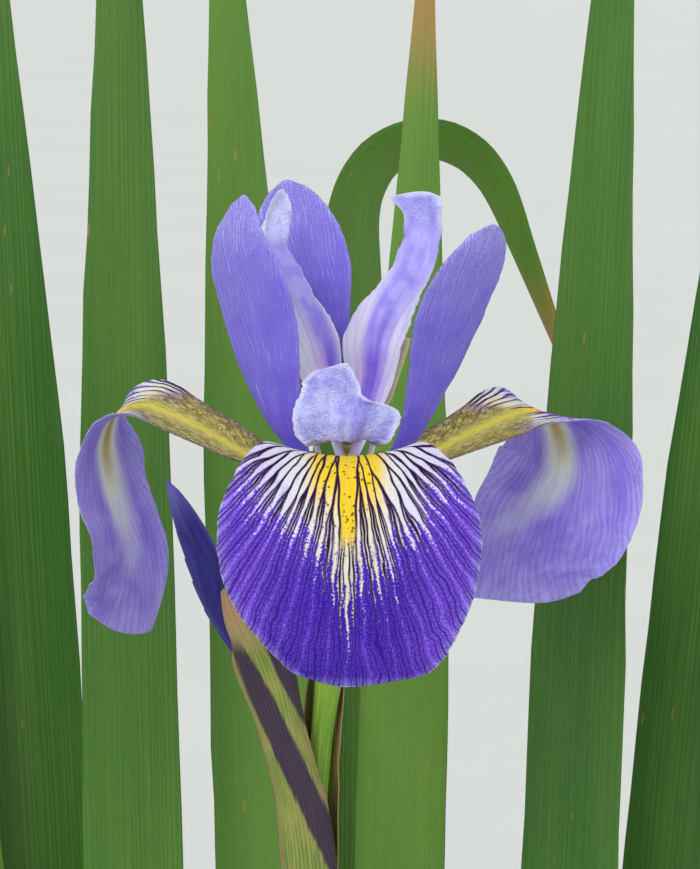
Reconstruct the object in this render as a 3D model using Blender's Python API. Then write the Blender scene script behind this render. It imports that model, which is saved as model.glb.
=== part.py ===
"""Potted iris, a bog plant with sword leaves, in a plain round pot.

The plant stands on six pieces of rhizome half sunk in the soil. A flower stalk rises from the middle
fan of leaves and ends in a pair of spathe valves with a closed bud and one open flower: three broad
falls, three upright standards, and a style column with three arms over three stamens.

Metres, +Z up. The origin is the middle of the pot's underside. The viewer stands at -Y.
"""

import math

import bmesh
import bpy
import numpy as np

MM = 0.001
GAP = 0.3 * MM
UP = np.array([0.0, 0.0, 1.0])

# Pot
POT_HEIGHT = 150 * MM
POT_TOP_RADIUS = 82 * MM
POT_BASE_RADIUS = 60 * MM
POT_WALL = 2.2 * MM
RIM_DEPTH = 14 * MM
RIM_OUT = 3.2 * MM
RIM_ROUND = 1.5 * MM
BASE_ROUND = 2 * MM
POT_SEGMENTS = 36
DRAIN_HOLES = 4
DRAIN_RADIUS = 6 * MM
DRAIN_RING = 38 * MM

# Soil and rhizomes
SOIL_TOP = 134 * MM
SOIL_RINGS = 2
SOIL_LUMP = 1.4 * MM
LUMP_WAVES = (190, 150, 90, 230)
RHIZOME_RADIUS = 9.5 * MM
RHIZOME_SINK = 3 * MM
RHIZOME_CROWN = 5.5 * MM
RHIZOME_RINGS = 8
RHIZOME_SIDES = 8

# Flower, with its heart at the top of the perianth tube
HEART = np.array([0.0, -18.0, 660.0]) * MM
PETAL_THICKNESS = 0.8 * MM
VALVE_THICKNESS = 0.5 * MM
PETAL_ROWS = 15
PETAL_COLUMNS, FALL_COLUMNS = 6, 8
TIP_CROWDING = 1.2

# Stalk, from the middle rhizome to the foot of the spathe
STALK_FOOT = np.array([0.0, -9.0]) * MM
STALK_TOP = HEART + np.array([-6.0, -1.0, -60.0]) * MM
STALK_RADII = (4.4 * MM, 3.6 * MM)
STALK_STRAIGHT = 60 * MM
STALK_BEND = np.array([2.5, -4.0, 0.0]) * MM
STALK_RINGS = 12

# Leaves
LEAF_FOOT = SOIL_TOP + RHIZOME_CROWN + GAP
LEAF_FOOT_WIDTH = 8.9 * MM
LEAF_FOOT_THICKNESS = 2.8 * MM
LEAF_TIP_THICKNESS, FOLDED_TIP_THICKNESS = 0.7 * MM, 1.6 * MM
LEAF_LAYER = 1.8 * MM
LEAF_RINGS, FOLDED_RINGS = 11, 15
ARCH_POWER = 3
FOLD_FROM, FOLD_TO, FOLD_LEAST = 0.84, 0.93, 90
LEAN_STRETCH = 0.12
LINE_STEPS = 241
# Shares of the way along a leaf, and how much of its full width it has there
LEAF_WIDENS = (0, 0.1, 0.3, 0.5, 0.75, 0.9, 1)
LEAF_SHARES = (0, 0.2, 0.75, 1, 0.9, 0.5, 0)
TIP_FROM, TIP_LEAST = 0.8, 0.06

# Each fan: name, middle of its foot in mm, turn of its plane from X in degrees, and its leaves from
# left to right. A leaf has its place along the fan in mm, layer, lean along the fan and lean behind it
# in degrees, arch at the tip in degrees, length and width in mm, and twist in degrees.
FANS = (
    ("middle", (0.0, -9.0), 8.0, (
        (-14.9, -1, -6.6, 0.6, -18, 360, 17, 14),
        (-10.0, 1, -4.2, 1.0, -8, 410, 18, -12),
        (10.0, 1, 3.8, 1.2, 8, 430, 18, 14),
        (14.9, -1, 7.0, -1.0, 18, 384, 16, -12),
    )),
    ("rear_left", (-38.0, 24.0), 26.0, (
        (-15.0, -1, -6.4, 2.0, -26, 530, 18, 20),
        (-10.0, 1, -4.2, 5.0, -12, 600, 20, -18),
        (-5.0, -1, -2.6, 3.0, -5, 652, 21, 12),
        (0.0, 1, -1.0, 3.8, 2, 640, 21, -14),
        (5.0, -1, -0.2, 1.6, 2, 664, 20, 12),
        (10.0, 1, 0.8, 5.2, 4, 580, 18, -12),
    )),
    ("rear_middle", (0.0, 54.0), 4.0, (
        (-5.0, -1, -1.2, 1.6, -2, 642, 20, 10),
        (0.0, 1, 0.5, 5.0, 158, 652, 20, 48),
        (5.0, -1, 0.8, 3.0, 2, 620, 18, -10),
    )),
    ("rear_right", (38.0, 28.0), -26.0, (
        (-10.0, 1, -0.6, 5.2, -2, 590, 18, 12),
        (-5.0, -1, 0.2, 1.6, 2, 660, 20, -14),
        (0.0, 1, 1.2, 3.8, 4, 648, 21, 14),
        (5.0, -1, 2.6, 3.0, 8, 618, 20, -12),
        (10.0, 1, 4.2, 5.0, 14, 570, 19, 18),
        (15.0, -1, 6.4, 2.0, 30, 512, 17, -20),
    )),
    ("front_right", (38.0, -34.0), 38.0, (
        (-7.5, -1, -4.5, -5.0, -8, 262, 13, 14),
        (-2.5, 1, -1.5, -2.5, -4, 318, 15, -12),
        (2.5, -1, 3.0, -4.5, 8, 300, 15, 14),
        (7.5, 1, 8.0, -2.0, 26, 236, 13, -14),
    )),
    ("front_left", (-38.0, -32.0), -36.0, (
        (-7.5, -1, -8.5, -5.0, -30, 258, 13, -14),
        (-2.5, 1, -3.5, -3.0, -9, 330, 15, 14),
        (2.5, -1, 1.0, -5.0, 4, 302, 15, -12),
        (7.5, 1, 5.5, -2.8, 14, 240, 13, 14),
    )),
)

# Petals. The spine's points are distance out from the heart, height and shift along the side, in mm.
# The rest are stations from 0 at the foot to 1 at the tip: half widths in mm on the two sides, lift of
# the edges above the midline in mm, and roll about the spine in degrees.
FALLS = (
    ("fall_front", 0.0,
     ((4.2, 0.4, 0), (9, 4, 0), (15, 7.4, 0), (22, 10.4, 0), (28, 12.1, 0), (33, 12.7, 0), (38, 11, 0),
      (42, 6.5, 0), (44.5, 0, 0), (45.2, -7, 0), (44.2, -14, 0), (42, -20, 0)),
     ((0, 2.0, 2.0), (0.1, 3.0, 3.0), (0.2, 4.4, 4.4), (0.3, 5.4, 5.4), (0.38, 7.0, 7.0),
      (0.42, 9.6, 9.2), (0.46, 12.0, 11.4), (0.53, 15.8, 15.8), (0.61, 18.7, 19.1), (0.66, 19.1, 19.8),
      (0.71, 18.9, 19.7), (0.81, 16.8, 18.4), (0.91, 11.8, 15.2), (0.97, 8.2, 12.2), (1, 5.2, 8.4)),
     ((0, 0.8), (0.2, 2.2), (0.3, 1.4), (0.38, 0.3), (0.42, 1.5), (0.46, 3.0), (0.51, 3.0), (0.57, 1.8),
      (0.65, -0.2), (0.75, -1.6), (1, -0.6)),
     ((0, 0), (1, 0))),
    ("fall_left", -112.0,
     ((4.2, 0.4, 0), (10, 2.6, 0), (17, 5.6, 0), (24, 9.0, 0), (31, 11.8, 0), (37, 13.0, 0), (41.2, 11.2, 0),
      (43, 6.8, 0), (43, 1, -1), (42, -6, -3), (41, -13, -5), (41, -20, -5), (41.5, -26.5, -3)),
     ((0, 2.0, 2.0), (0.1, 3.0, 3.6), (0.2, 4.6, 6.4), (0.33, 6.0, 8.2), (0.41, 7.4, 8.6),
      (0.48, 8.6, 10.0), (0.56, 10.0, 12.4), (0.66, 9.6, 13.2), (0.78, 10.9, 15.0), (0.88, 11.2, 15.5),
      (0.95, 10.4, 13.4), (1, 8.6, 8.6)),
     ((0, 0.8), (0.12, 1.5), (0.35, 1.4), (0.45, 1.6), (0.53, 0.6), (0.62, -1.2), (0.8, -0.6), (1, 1.0)),
     ((0, 0), (0.15, -7), (0.4, -10), (0.5, -10), (0.62, 2), (0.74, 0), (1, 11))),
    ("fall_right", 130.0,
     ((4.2, 0.4, 0), (10, 2.2, 0), (17, 4.8, 0), (24, 7.0, 0), (31, 8.8, 0), (38, 10.0, 0), (43.5, 9.4, 0),
      (46.6, 6.0, 0), (47.6, 0, 0), (47.2, -6, 1.5), (46, -12, 3), (44.5, -18, 3.4), (43.8, -24, 2.4)),
     ((0, 2.0, 2.0), (0.1, 3.8, 3.0), (0.2, 6.6, 4.6), (0.33, 8.8, 5.8), (0.42, 10.2, 7.0),
      (0.5, 12.5, 8.6), (0.58, 16.4, 11.4), (0.68, 19.0, 13.6), (0.8, 19.4, 14.0), (0.9, 17.5, 15.8),
      (0.96, 14.6, 16.6), (1, 11.0, 14.0)),
     ((0, 0.8), (0.12, 1.5), (0.35, 1.4), (0.46, 2.0), (0.6, 0.4), (0.8, -2.4), (1, -1.0)),
     ((0, 0), (0.15, 6), (0.4, 9), (0.47, 10), (0.58, 0), (1, 0))),
)
STANDARDS = (
    ("standard_left", -52.0,
     ((3.4, 0.2, 0), (7, 5, 0), (12, 12, 0), (14.5, 21, 0), (16.8, 30.5, 0), (19.5, 38.5, 0),
      (20.8, 44.5, 0), (20, 50.3, 0)),
     ((0, 1.0, 1.0), (0.15, 1.8, 1.6), (0.26, 4.0, 2.6), (0.43, 7.8, 4.0), (0.6, 9.8, 5.4),
      (0.76, 9.2, 6.0), (0.88, 6.2, 4.2), (0.96, 3.2, 2.4), (1, 1.4, 1.2)),
     ((0, 0.2), (0.3, 1.2), (0.6, 1.8), (1, 0.4)),
     ((0, 0), (0.3, 10), (1, 10))),
    ("standard_right", 60.0,
     ((3.4, 0.2, 0), (7.2, 5, 0), (12.2, 12, 0), (15.6, 20, 0), (18.4, 27, 0), (20.6, 32, 0),
      (23.2, 37.8, 0), (25.4, 43.0, 0), (26, 45.8, 0)),
     ((0, 1.0, 1.0), (0.14, 1.6, 1.8), (0.27, 2.4, 3.8), (0.43, 4.0, 6.4), (0.57, 6.4, 8.1),
      (0.68, 8.2, 8.5), (0.81, 8.6, 8.0), (0.93, 6.0, 5.6), (1, 2.6, 2.4)),
     ((0, 0.2), (0.3, 1.2), (0.6, 1.8), (1, 0.6)),
     ((0, 0), (0.3, -10), (1, -10))),
    ("standard_rear", 180.0,
     ((3.4, 0.2, 0), (5.2, 8, 0), (8.4, 18, 1.6), (10.6, 27, 4.0), (12, 35, 6.6), (13, 42, 8.2),
      (13.6, 47.2, 9.4), (13.8, 50.2, 10)),
     ((0, 1.0, 1.0), (0.15, 1.7, 1.7), (0.34, 2.6, 3.2), (0.52, 4.4, 5.8), (0.7, 7.4, 7.8),
      (0.84, 6.7, 7.0), (0.94, 4.3, 4.4), (1, 1.6, 1.6)),
     ((0, 0.2), (0.4, 1.0), (0.7, 1.6), (1, 0.4)),
     ((0, 0), (1, 0))),
)
STYLE_ARMS = (
    ("style_arm_front", 0.0,
     ((1.3, 6.4, 0), (4, 9.8, 0), (9, 13, 0), (15, 14.8, 0), (21, 15.0, 0), (25.4, 13.6, 0), (28.0, 13.8, 0),
      (28.9, 17.2, 0), (28.5, 21.5, 0), (27.6, 26.4, 0)),
     ((0, 1.0, 1.0), (0.12, 2.0, 2.0), (0.3, 3.4, 3.4), (0.5, 4.0, 4.0), (0.62, 4.4, 4.4),
      (0.69, 6.4, 5.8), (0.75, 7.9, 7.4), (0.8, 8.1, 8.0), (0.83, 7.9, 7.4), (0.85, 7.7, 6.2),
      (0.867, 7.5, 3.7), (0.9, 7.1, 2.2), (0.95, 6.2, 1.3), (1, 3.6, 0.6)),
     ((0, 0), (0.25, -0.8), (0.55, -0.9), (0.7, 0.2), (1, 0.8)),
     ((0, 0), (1, 0))),
    ("style_arm_left", -112.0,
     ((1.3, 6.4, 0), (2.1, 12, 0), (3.4, 18, 0), (5.2, 25, 0), (8.3, 32.4, 0), (12.2, 41, 0),
      (12.4, 45, 0), (10.9, 49.5, 0)),
     ((0, 1.0, 1.0), (0.15, 2.4, 2.4), (0.3, 4.2, 4.2), (0.42, 4.9, 4.8), (0.5, 4.5, 4.6),
      (0.6, 3.4, 4.2), (0.7, 3.0, 3.2), (0.79, 2.1, 1.8), (0.85, 2.8, 3.0), (0.9, 3.1, 1.9),
      (0.95, 2.0, 1.5), (1, 0.9, 0.8)),
     ((0, 0), (0.3, -0.7), (0.7, -0.8), (1, 0.4)),
     ((0, 0), (0.3, -27), (1, -30))),
    ("style_arm_right", 130.0,
     ((1.3, 6.4, 0), (2.8, 12, 0), (4.6, 19, 0), (5.6, 25.5, 0), (7.3, 29.5, 0), (10.3, 33.2, 0),
      (13.3, 36.5, 0), (14.9, 40, 0), (15.8, 44, 0), (15.7, 48.6, 0)),
     ((0, 1.0, 1.0), (0.13, 2.4, 2.4), (0.28, 3.9, 4.3), (0.42, 4.7, 5.4), (0.5, 4.8, 4.7),
      (0.55, 4.6, 3.9), (0.64, 4.0, 3.3), (0.75, 3.5, 3.1), (0.88, 3.6, 2.9), (0.94, 3.5, 3.6),
      (0.97, 3.5, 5.0), (1, 3.4, 4.4)),
     ((0, 0), (0.3, -0.7), (0.7, -0.8), (1, 0.4)),
     ((0, 0), (0.3, 25), (1, 28))),
)

# Stamens: azimuth, and points as distance out and height, in mm
STAMENS = (
    ("stamen_front", 0.0, ((2.95, 0.6), (5, 4.4), (9, 8.4), (14, 11.1), (22, 13.0))),
    ("stamen_left", -112.0, ((2.95, 0.6), (4.6, 6), (6.4, 12), (8.2, 18), (11.4, 26))),
    ("stamen_right", 130.0, ((2.95, 0.6), (4.6, 6), (6.8, 12), (9.4, 18), (12.6, 25))),
)
FILAMENT_RADIUS = 0.5 * MM
ANTHER_RADIUS = 0.8 * MM

# Rods of the flower head: points from the heart with a radius, all in mm
PERIANTH_TUBE = ((-0.6, 0, -12.3, 2.5), (-0.3, 0, -7, 2.5), (0, 0, -3, 3.4), (0, 0, -0.4, 4.8))
OVARY_STALK = (
    (-5.4, 1.0, -59.7, 1.6), (-4.9, 1.0, -48, 1.7), (-4.1, 0.9, -37.5, 1.9), (-3.1, 0.6, -29, 2.3),
    (-2.2, 0.3, -21, 2.9), (-1.4, 0.1, -16, 2.7), (-0.7, 0, -12.7, 2.3))
BUD = (
    (-6.3, -2.9, -59.7, 1.0), (-8.0, -4.0, -48, 1.2), (-10.6, -4.3, -37.5, 1.6),
    (-15.3, -4.1, -25, 2.1), (-20.4, -4.2, -15.8, 2.6), (-23.0, -4.0, -9, 2.7),
    (-26.0, -3.8, -2, 1.9), (-28.7, -3.6, 4, 0.4))
STYLE_COLUMN = ((0, 0, 0, 1.9), (0, 0, 3, 1.7), (0, 0, 5.6, 1.9))

# Spathe valves: points of the fold's edge line from the heart, half width and depth of the fold, in mm
VALVE_FRONT = (
    (-6.0, -1.6, -62, 4.4, 3.9), (-7.4, -3.2, -50, 4.1, 3.4), (-10.3, -3.9, -37.5, 3.8, 3.0),
    (-13.8, -5.2, -25, 4.4, 2.6), (-14.9, -7.4, -22, 3.3, 1.2), (-16.8, -7.4, -18.5, 2.6, 0.9),
    (-19.4, -7.5, -12.8, 0.6, 0.2))
VALVE_REAR = (
    (-6.0, -0.5, -62, 4.4, 3.8), (-5.2, 0.1, -50, 3.6, 3.6), (-4.1, 0.4, -37.5, 3.1, 3.1),
    (-3.0, 1.9, -28, 2.7, 2.3), (-2.4, 4.0, -24, 1.5, 0.9), (-1.9, 4.5, -20, 0.6, 0.3))

# Leaves on the stalk: height of the foot, side of the stalk, length, width, lean in degrees
STALK_LEAVES = (
    ("stalk_leaf_lower", 300 * MM, -1, 150 * MM, 10 * MM, 7.0),
    ("stalk_leaf_upper", 452 * MM, 1, 104 * MM, 8 * MM, 9.0),
)
STALK_LEAF_THICKNESS = 1.8 * MM
STALK_LEAF_RINGS = 8


def clear_scene():
    """Empty scene."""
    for item in list(bpy.data.objects):
        bpy.data.objects.remove(item, do_unlink=True)


def finish(name, colour, roughness):
    """Material with a plain colour."""
    material = bpy.data.materials.new(name)
    material.use_nodes = True
    shader = material.node_tree.nodes["Principled BSDF"]
    shader.inputs["Base Color"].default_value = (*colour, 1.0)
    shader.inputs["Roughness"].default_value = roughness
    shader.inputs["Metallic"].default_value = 0.0
    return material


def add_mesh(name, vertices, faces, colour, roughness=0.55, sharp=50.0):
    """Object from vertices and faces, with its faces turned outwards and shaded smooth."""
    mesh = bpy.data.meshes.new(name)
    mesh.from_pydata([tuple(v) for v in np.asarray(vertices, float)], [], [tuple(f) for f in faces])
    work = bmesh.new()
    work.from_mesh(mesh)
    bmesh.ops.recalc_face_normals(work, faces=work.faces[:])
    work.to_mesh(mesh)
    work.free()
    mesh.shade_smooth()
    mesh.set_sharp_from_angle(angle=math.radians(sharp))
    mesh.materials.append(finish(name, colour, roughness))
    item = bpy.data.objects.new(name, mesh)
    bpy.context.scene.collection.objects.link(item)
    return item


def smooth(stations, values, where):
    """Values read at where, on cubic pieces through the stations. The slope at a station is the mean
    of the slopes on either side, each weighted by the other side's length."""
    s = np.asarray(stations, float)
    p = np.asarray(values, float).reshape(len(s), -1)
    step = np.diff(s)[:, None]
    slope = np.diff(p, axis=0) / step
    tangent = np.concatenate((slope[:1], slope[:1], slope[1:]))[: len(s)]
    tangent[-1] = slope[-1]
    tangent[1:-1] = (slope[:-1] * step[1:] + slope[1:] * step[:-1]) / (step[:-1] + step[1:])
    i = np.clip(np.searchsorted(s, where, side="right") - 1, 0, len(s) - 2)
    length = step[i]
    x = (np.asarray(where, float)[:, None] - s[i][:, None]) / length
    near, far = (1 + 2 * x) * (1 - x) ** 2, x * x * (3 - 2 * x)
    return near * p[i] + far * p[i + 1] + length * x * (1 - x) * ((1 - x) * tangent[i] - x * tangent[i + 1])


def along_length(points):
    """Stations from 0 to 1 by distance along the points."""
    steps = np.linalg.norm(np.diff(np.asarray(points, float), axis=0), axis=1)
    total = np.concatenate(([0.0], np.cumsum(steps)))
    return total / total[-1]


def eased(values, start, end):
    """Smooth step from 0 at the start to 1 at the end."""
    x = np.clip((values - start) / (end - start), 0, 1)
    return x * x * (3 - 2 * x)


def unit(vectors):
    """Vectors at length 1."""
    return vectors / np.linalg.norm(vectors, axis=-1, keepdims=True)


def across(tangent, hint):
    """Side vectors square to the tangents and nearest to the hint."""
    return unit(hint - (hint * tangent).sum(axis=1, keepdims=True) * tangent)


def closed_sheet(grid, thickness):
    """Vertices and faces of the solid that follows a grid of points at half the thickness each way."""
    rows, columns = grid.shape[:2]
    normal = unit(np.cross(np.gradient(grid, axis=1), np.gradient(grid, axis=0)))
    near = np.arange(rows * columns).reshape(rows, columns)
    far = near + rows * columns
    upper, lower = grid + normal * thickness / 2, grid - normal * thickness / 2
    quads = []
    for i in range(rows - 1):
        for j in range(columns - 1):
            quads.append((near[i, j], near[i, j + 1], near[i + 1, j + 1], near[i + 1, j]))
            quads.append((far[i + 1, j], far[i + 1, j + 1], far[i, j + 1], far[i, j]))
    edge, facing = [
        np.concatenate((side[0, :], side[1:, -1], side[-1, -2::-1], side[-2:0:-1, 0]))
        for side in (near, far)]
    for k in range(len(edge)):
        after = (k + 1) % len(edge)
        quads.append((edge[after], edge[k], facing[k], facing[after]))
    return np.concatenate((upper.reshape(-1, 3), lower.reshape(-1, 3))), quads


def ringed(rings, capped=True):
    """Vertices and faces of a solid through rings of points, closed by flat caps."""
    count, around = rings.shape[:2]
    index = np.arange(count * around).reshape(count, around)
    quads = []
    for i in range(count - 1):
        for j in range(around):
            k = (j + 1) % around
            quads.append((index[i, j], index[i, k], index[i + 1, k], index[i + 1, j]))
    if capped:
        quads += [tuple(index[0, ::-1]), tuple(index[-1])]
    return rings.reshape(-1, 3), quads


def rod(name, points, radii, colour, sides=10, rings=None, roughness=0.5):
    """Round rod along smooth points, with its end faces level."""
    points = np.asarray(points, float)
    stations = along_length(points)
    where = stations if rings is None else np.linspace(0, 1, rings)
    path = smooth(stations, points, where)
    radius = smooth(stations, radii, where)
    tangent = unit(np.gradient(path, axis=0))
    tangent[0] = tangent[-1] = UP
    first = across(tangent, np.array([[1.0, 0.0, 0.0]]))
    second = np.cross(tangent, first)
    turn = np.linspace(0, 2 * np.pi, sides, endpoint=False)[None, :, None]
    circle = first[:, None] * np.cos(turn) + second[:, None] * np.sin(turn)
    return add_mesh(name, *ringed(path[:, None] + circle * radius[:, None]), colour, roughness)


def petal_grid(azimuth, spine, halves, lift, roll, rows, columns):
    """Middle surface of a petal. Rows follow the spine and columns cross it; each row is a parabola
    that lifts the edges above the midline, turned about the spine by the roll."""
    turn = math.radians(azimuth)
    outward = np.array([math.sin(turn), -math.cos(turn), 0.0])
    side = np.array([math.cos(turn), math.sin(turn), 0.0])
    spine = np.asarray(spine, float)
    points = spine[:, :1] * outward + spine[:, 1:2] * UP + spine[:, 2:] * side
    where = 1 - (1 - np.linspace(0, 1, rows)) ** TIP_CROWDING
    path = smooth(along_length(points), points, where)
    tangent = unit(np.gradient(path, where, axis=0))
    level = across(tangent, side[None])
    face = np.cross(tangent, level)
    angle = np.radians(smooth([r[0] for r in roll], [r[1] for r in roll], where))
    wide = level * np.cos(angle) + face * np.sin(angle)
    face = np.cross(tangent, wide)
    half = smooth([h[0] for h in halves], [h[1:] for h in halves], where)
    rise = smooth([c[0] for c in lift], [c[1] for c in lift], where)
    u = np.linspace(-1, 1, columns)[None, :, None]
    reach = np.where(u < 0, half[:, None, :1], half[:, None, 1:]) * u
    grid = path[:, None] + wide[:, None] * reach + face[:, None] * rise[:, None] * u * u
    return grid * MM + HEART


def petals(group, colour, columns=PETAL_COLUMNS):
    """The petals of one kind."""
    for name, azimuth, spine, halves, lift, roll in group:
        grid = petal_grid(azimuth, spine, halves, lift, roll, PETAL_ROWS, columns)
        add_mesh(name, *closed_sheet(grid, PETAL_THICKNESS), colour, roughness=0.6)


def valve(name, stations, way, colour, rows=9, columns=7):
    """Spathe valve: a boat-shaped sheet, folded along a keel towards way (-1 front, +1 rear)."""
    table = np.asarray(stations, float)
    shape = smooth(along_length(table[:, :3]), table, np.linspace(0, 1, rows))
    angle = np.linspace(-1, 1, columns) * np.pi / 2
    grid = np.empty((rows, columns, 3))
    grid[..., 0] = shape[:, :1] + shape[:, 3:4] * np.sin(angle)
    grid[..., 1] = shape[:, 1:2] + way * shape[:, 4:5] * np.cos(angle) ** 0.8
    grid[..., 2] = shape[:, 2:3]
    add_mesh(name, *closed_sheet(grid * MM + HEART, VALVE_THICKNESS), colour)


def blade(name, path, wide, widths, thickness, colour):
    """Sword leaf: at each point of the path a flat diamond, sharp at both edges, with its long
    diagonal along wide. It ends in a narrow tip."""
    tangent = unit(np.gradient(path, axis=0))
    tangent[0] = UP
    wide = across(tangent, wide)
    face = np.cross(tangent, wide)
    half, depth = widths[:, None] / 2, thickness[:, None] / 2
    rings = np.stack((path + wide * half, path + face * depth, path - wide * half, path - face * depth), 1)
    add_mesh(name, *ringed(rings), colour, sharp=25.0)


def leaf_line(s, along, behind, lean, back, arch):
    """Points, headings and tilts at stations s of the midline of a leaf 1 long. It stands upright at its
    foot, leans along the fan and behind it over the next stretch, and arches along the fan towards its
    tip. A leaf that arches past level folds over within a short stretch."""
    fine = np.linspace(0, 1, LINE_STEPS)
    ease = eased(fine, 0, LEAN_STRETCH)
    bend = eased(fine, FOLD_FROM, FOLD_TO) if abs(arch) > FOLD_LEAST else fine**ARCH_POWER
    tilt_along = np.radians(lean * ease + arch * bend)[:, None]
    tilt_behind = np.radians(back * (ease + fine * fine))[:, None]
    tilt = np.hypot(tilt_along, tilt_behind)
    level = (tilt_along * along + tilt_behind * behind) / np.maximum(tilt, 1e-9)
    heading = level * np.sin(tilt) + UP * np.cos(tilt)
    steps = np.diff(fine)[:, None] * (heading[1:] + heading[:-1]) / 2
    line = np.concatenate((np.zeros((1, 3)), np.cumsum(steps, axis=0)))
    table = np.concatenate((line, level, tilt), axis=1)
    at = np.stack([np.interp(s, fine, column) for column in table.T], axis=1)
    return at[:, :3], at[:, 3:6], at[:, 6:]


def fan_leaf(name, foot, plane, layer, lean, back, arch, length, width, twist):
    """Leaf of a fan, widest at half its length and narrow at its tip. One that folds over is stiffer
    there."""
    turn = math.radians(plane)
    along = np.array([math.cos(turn), math.sin(turn), 0.0])
    behind = np.array([-math.sin(turn), math.cos(turn), 0.0])
    s, end = np.linspace(0, 1, LEAF_RINGS) ** 1.05, LEAF_TIP_THICKNESS
    if abs(arch) > FOLD_LEAST:
        s = np.interp(np.linspace(0, 1, FOLDED_RINGS), (0, 0.4, 0.85, 1), (0, FOLD_FROM, FOLD_TO, 1))
        end = FOLDED_TIP_THICKNESS
    line, level, tilt = leaf_line(s, along, behind, lean, back, arch)
    path = foot + behind * layer * LEAF_LAYER + line * length
    spin = np.radians(twist * s * s)[:, None]
    flat = along * np.cos(spin) + behind * np.sin(spin)
    part_level = (flat * level).sum(axis=1, keepdims=True)
    wide = flat - part_level * level + part_level * (level * np.cos(tilt) - UP * np.sin(tilt))
    share = smooth(LEAF_WIDENS, LEAF_SHARES, s)[:, 0]
    tip = np.clip((1 - s) / (1 - TIP_FROM), TIP_LEAST, 1) ** 0.6
    widths = (LEAF_FOOT_WIDTH + (width * MM - LEAF_FOOT_WIDTH) * share) * tip
    thickness = LEAF_FOOT_THICKNESS * (1 - s) ** 1.5 + end + 0.5 * MM * (1 - s)
    blade(name, path, wide, widths, np.minimum(thickness, LEAF_FOOT_THICKNESS), (0.16, 0.36, 0.07))


def fans():
    """All leaves that rise from the rhizomes."""
    for fan, (x, y), plane, leaves in FANS:
        turn = math.radians(plane)
        for number, (place, layer, lean, back, arch, length, width, twist) in enumerate(leaves, 1):
            foot = np.array([x + place * math.cos(turn), y + place * math.sin(turn), 0]) * MM
            foot[2] = LEAF_FOOT
            fan_leaf(f"leaf_{fan}_{number}", foot, plane, layer, lean, back, arch, length * MM, width, twist)


def turned(profile, segments):
    """Vertices and faces of a solid turned about the Z axis from a profile of (radius, height) points
    whose first and last points lie on the axis."""
    turn = np.linspace(0, 2 * np.pi, segments, endpoint=False)
    inner = np.asarray(profile[1:-1], float)
    rings = np.empty((len(inner), segments, 3))
    rings[..., 0] = inner[:, :1] * np.cos(turn)
    rings[..., 1] = inner[:, :1] * np.sin(turn)
    rings[..., 2] = inner[:, 1:]
    vertices, faces = ringed(rings, capped=False)
    start, end = len(vertices), len(vertices) + 1
    vertices = np.concatenate((vertices, ((0, 0, profile[0][1]), (0, 0, profile[-1][1]))))
    last = (len(inner) - 1) * segments
    for j in range(segments):
        k = (j + 1) % segments
        faces.append((start, k, j))
        faces.append((end, last + j, last + k))
    return vertices, faces


def cut(item, cutters):
    """Takes the cutters out of the item, and leaves the cutters out of the model."""
    for cutter in cutters:
        modifier = item.modifiers.new(cutter.name, "BOOLEAN")
        modifier.operation = "DIFFERENCE"
        modifier.solver = "EXACT"
        modifier.object = cutter
        cutter.hide_render = True
        cutter.display_type = "WIRE"


def inner_radius(height):
    """Inside radius of the pot at a height."""
    share = height / POT_HEIGHT
    return POT_BASE_RADIUS + (POT_TOP_RADIUS - POT_BASE_RADIUS) * share - POT_WALL


def pot():
    """Tapered pot with a rolled rim and drain holes round its flat base."""
    rim_foot = POT_HEIGHT - RIM_DEPTH
    band = inner_radius(rim_foot) + POT_WALL
    lip = inner_radius(POT_HEIGHT)
    profile = (
        (0, 0), (POT_BASE_RADIUS - BASE_ROUND, 0), (POT_BASE_RADIUS, BASE_ROUND), (band, rim_foot),
        (band + RIM_OUT, rim_foot + RIM_ROUND / 2), (POT_TOP_RADIUS + RIM_OUT, POT_HEIGHT - RIM_ROUND),
        (POT_TOP_RADIUS + RIM_OUT - RIM_ROUND, POT_HEIGHT), (lip + RIM_ROUND / 2, POT_HEIGHT),
        (lip, POT_HEIGHT - RIM_ROUND), (inner_radius(POT_WALL), POT_WALL), (0, POT_WALL))
    item = add_mesh("pot", *turned(profile, POT_SEGMENTS), (0.035, 0.037, 0.04), roughness=0.6, sharp=35.0)
    cutters = []
    for number in range(DRAIN_HOLES):
        turn = math.tau * (number + 0.5) / DRAIN_HOLES
        place = np.array([math.cos(turn), math.sin(turn), 0]) * DRAIN_RING
        ends = np.array([place - UP * POT_WALL, place + UP * 2 * POT_WALL])
        cutters.append(rod(f"drain_cutter_{number + 1}", ends, (DRAIN_RADIUS,) * 2, (0.5,) * 3))
    cut(item, cutters)


def rhizome_points(x, y, plane, length):
    """Points along a rhizome under a fan, in metres."""
    turn = math.radians(plane)
    offsets = np.linspace(-0.5, 0.5, RHIZOME_RINGS) * length
    points = np.empty((RHIZOME_RINGS, 3))
    points[:, 0] = x * MM + offsets * math.cos(turn)
    points[:, 1] = y * MM + offsets * math.sin(turn)
    points[:, 2] = SOIL_TOP - RHIZOME_SINK
    return points


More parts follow.
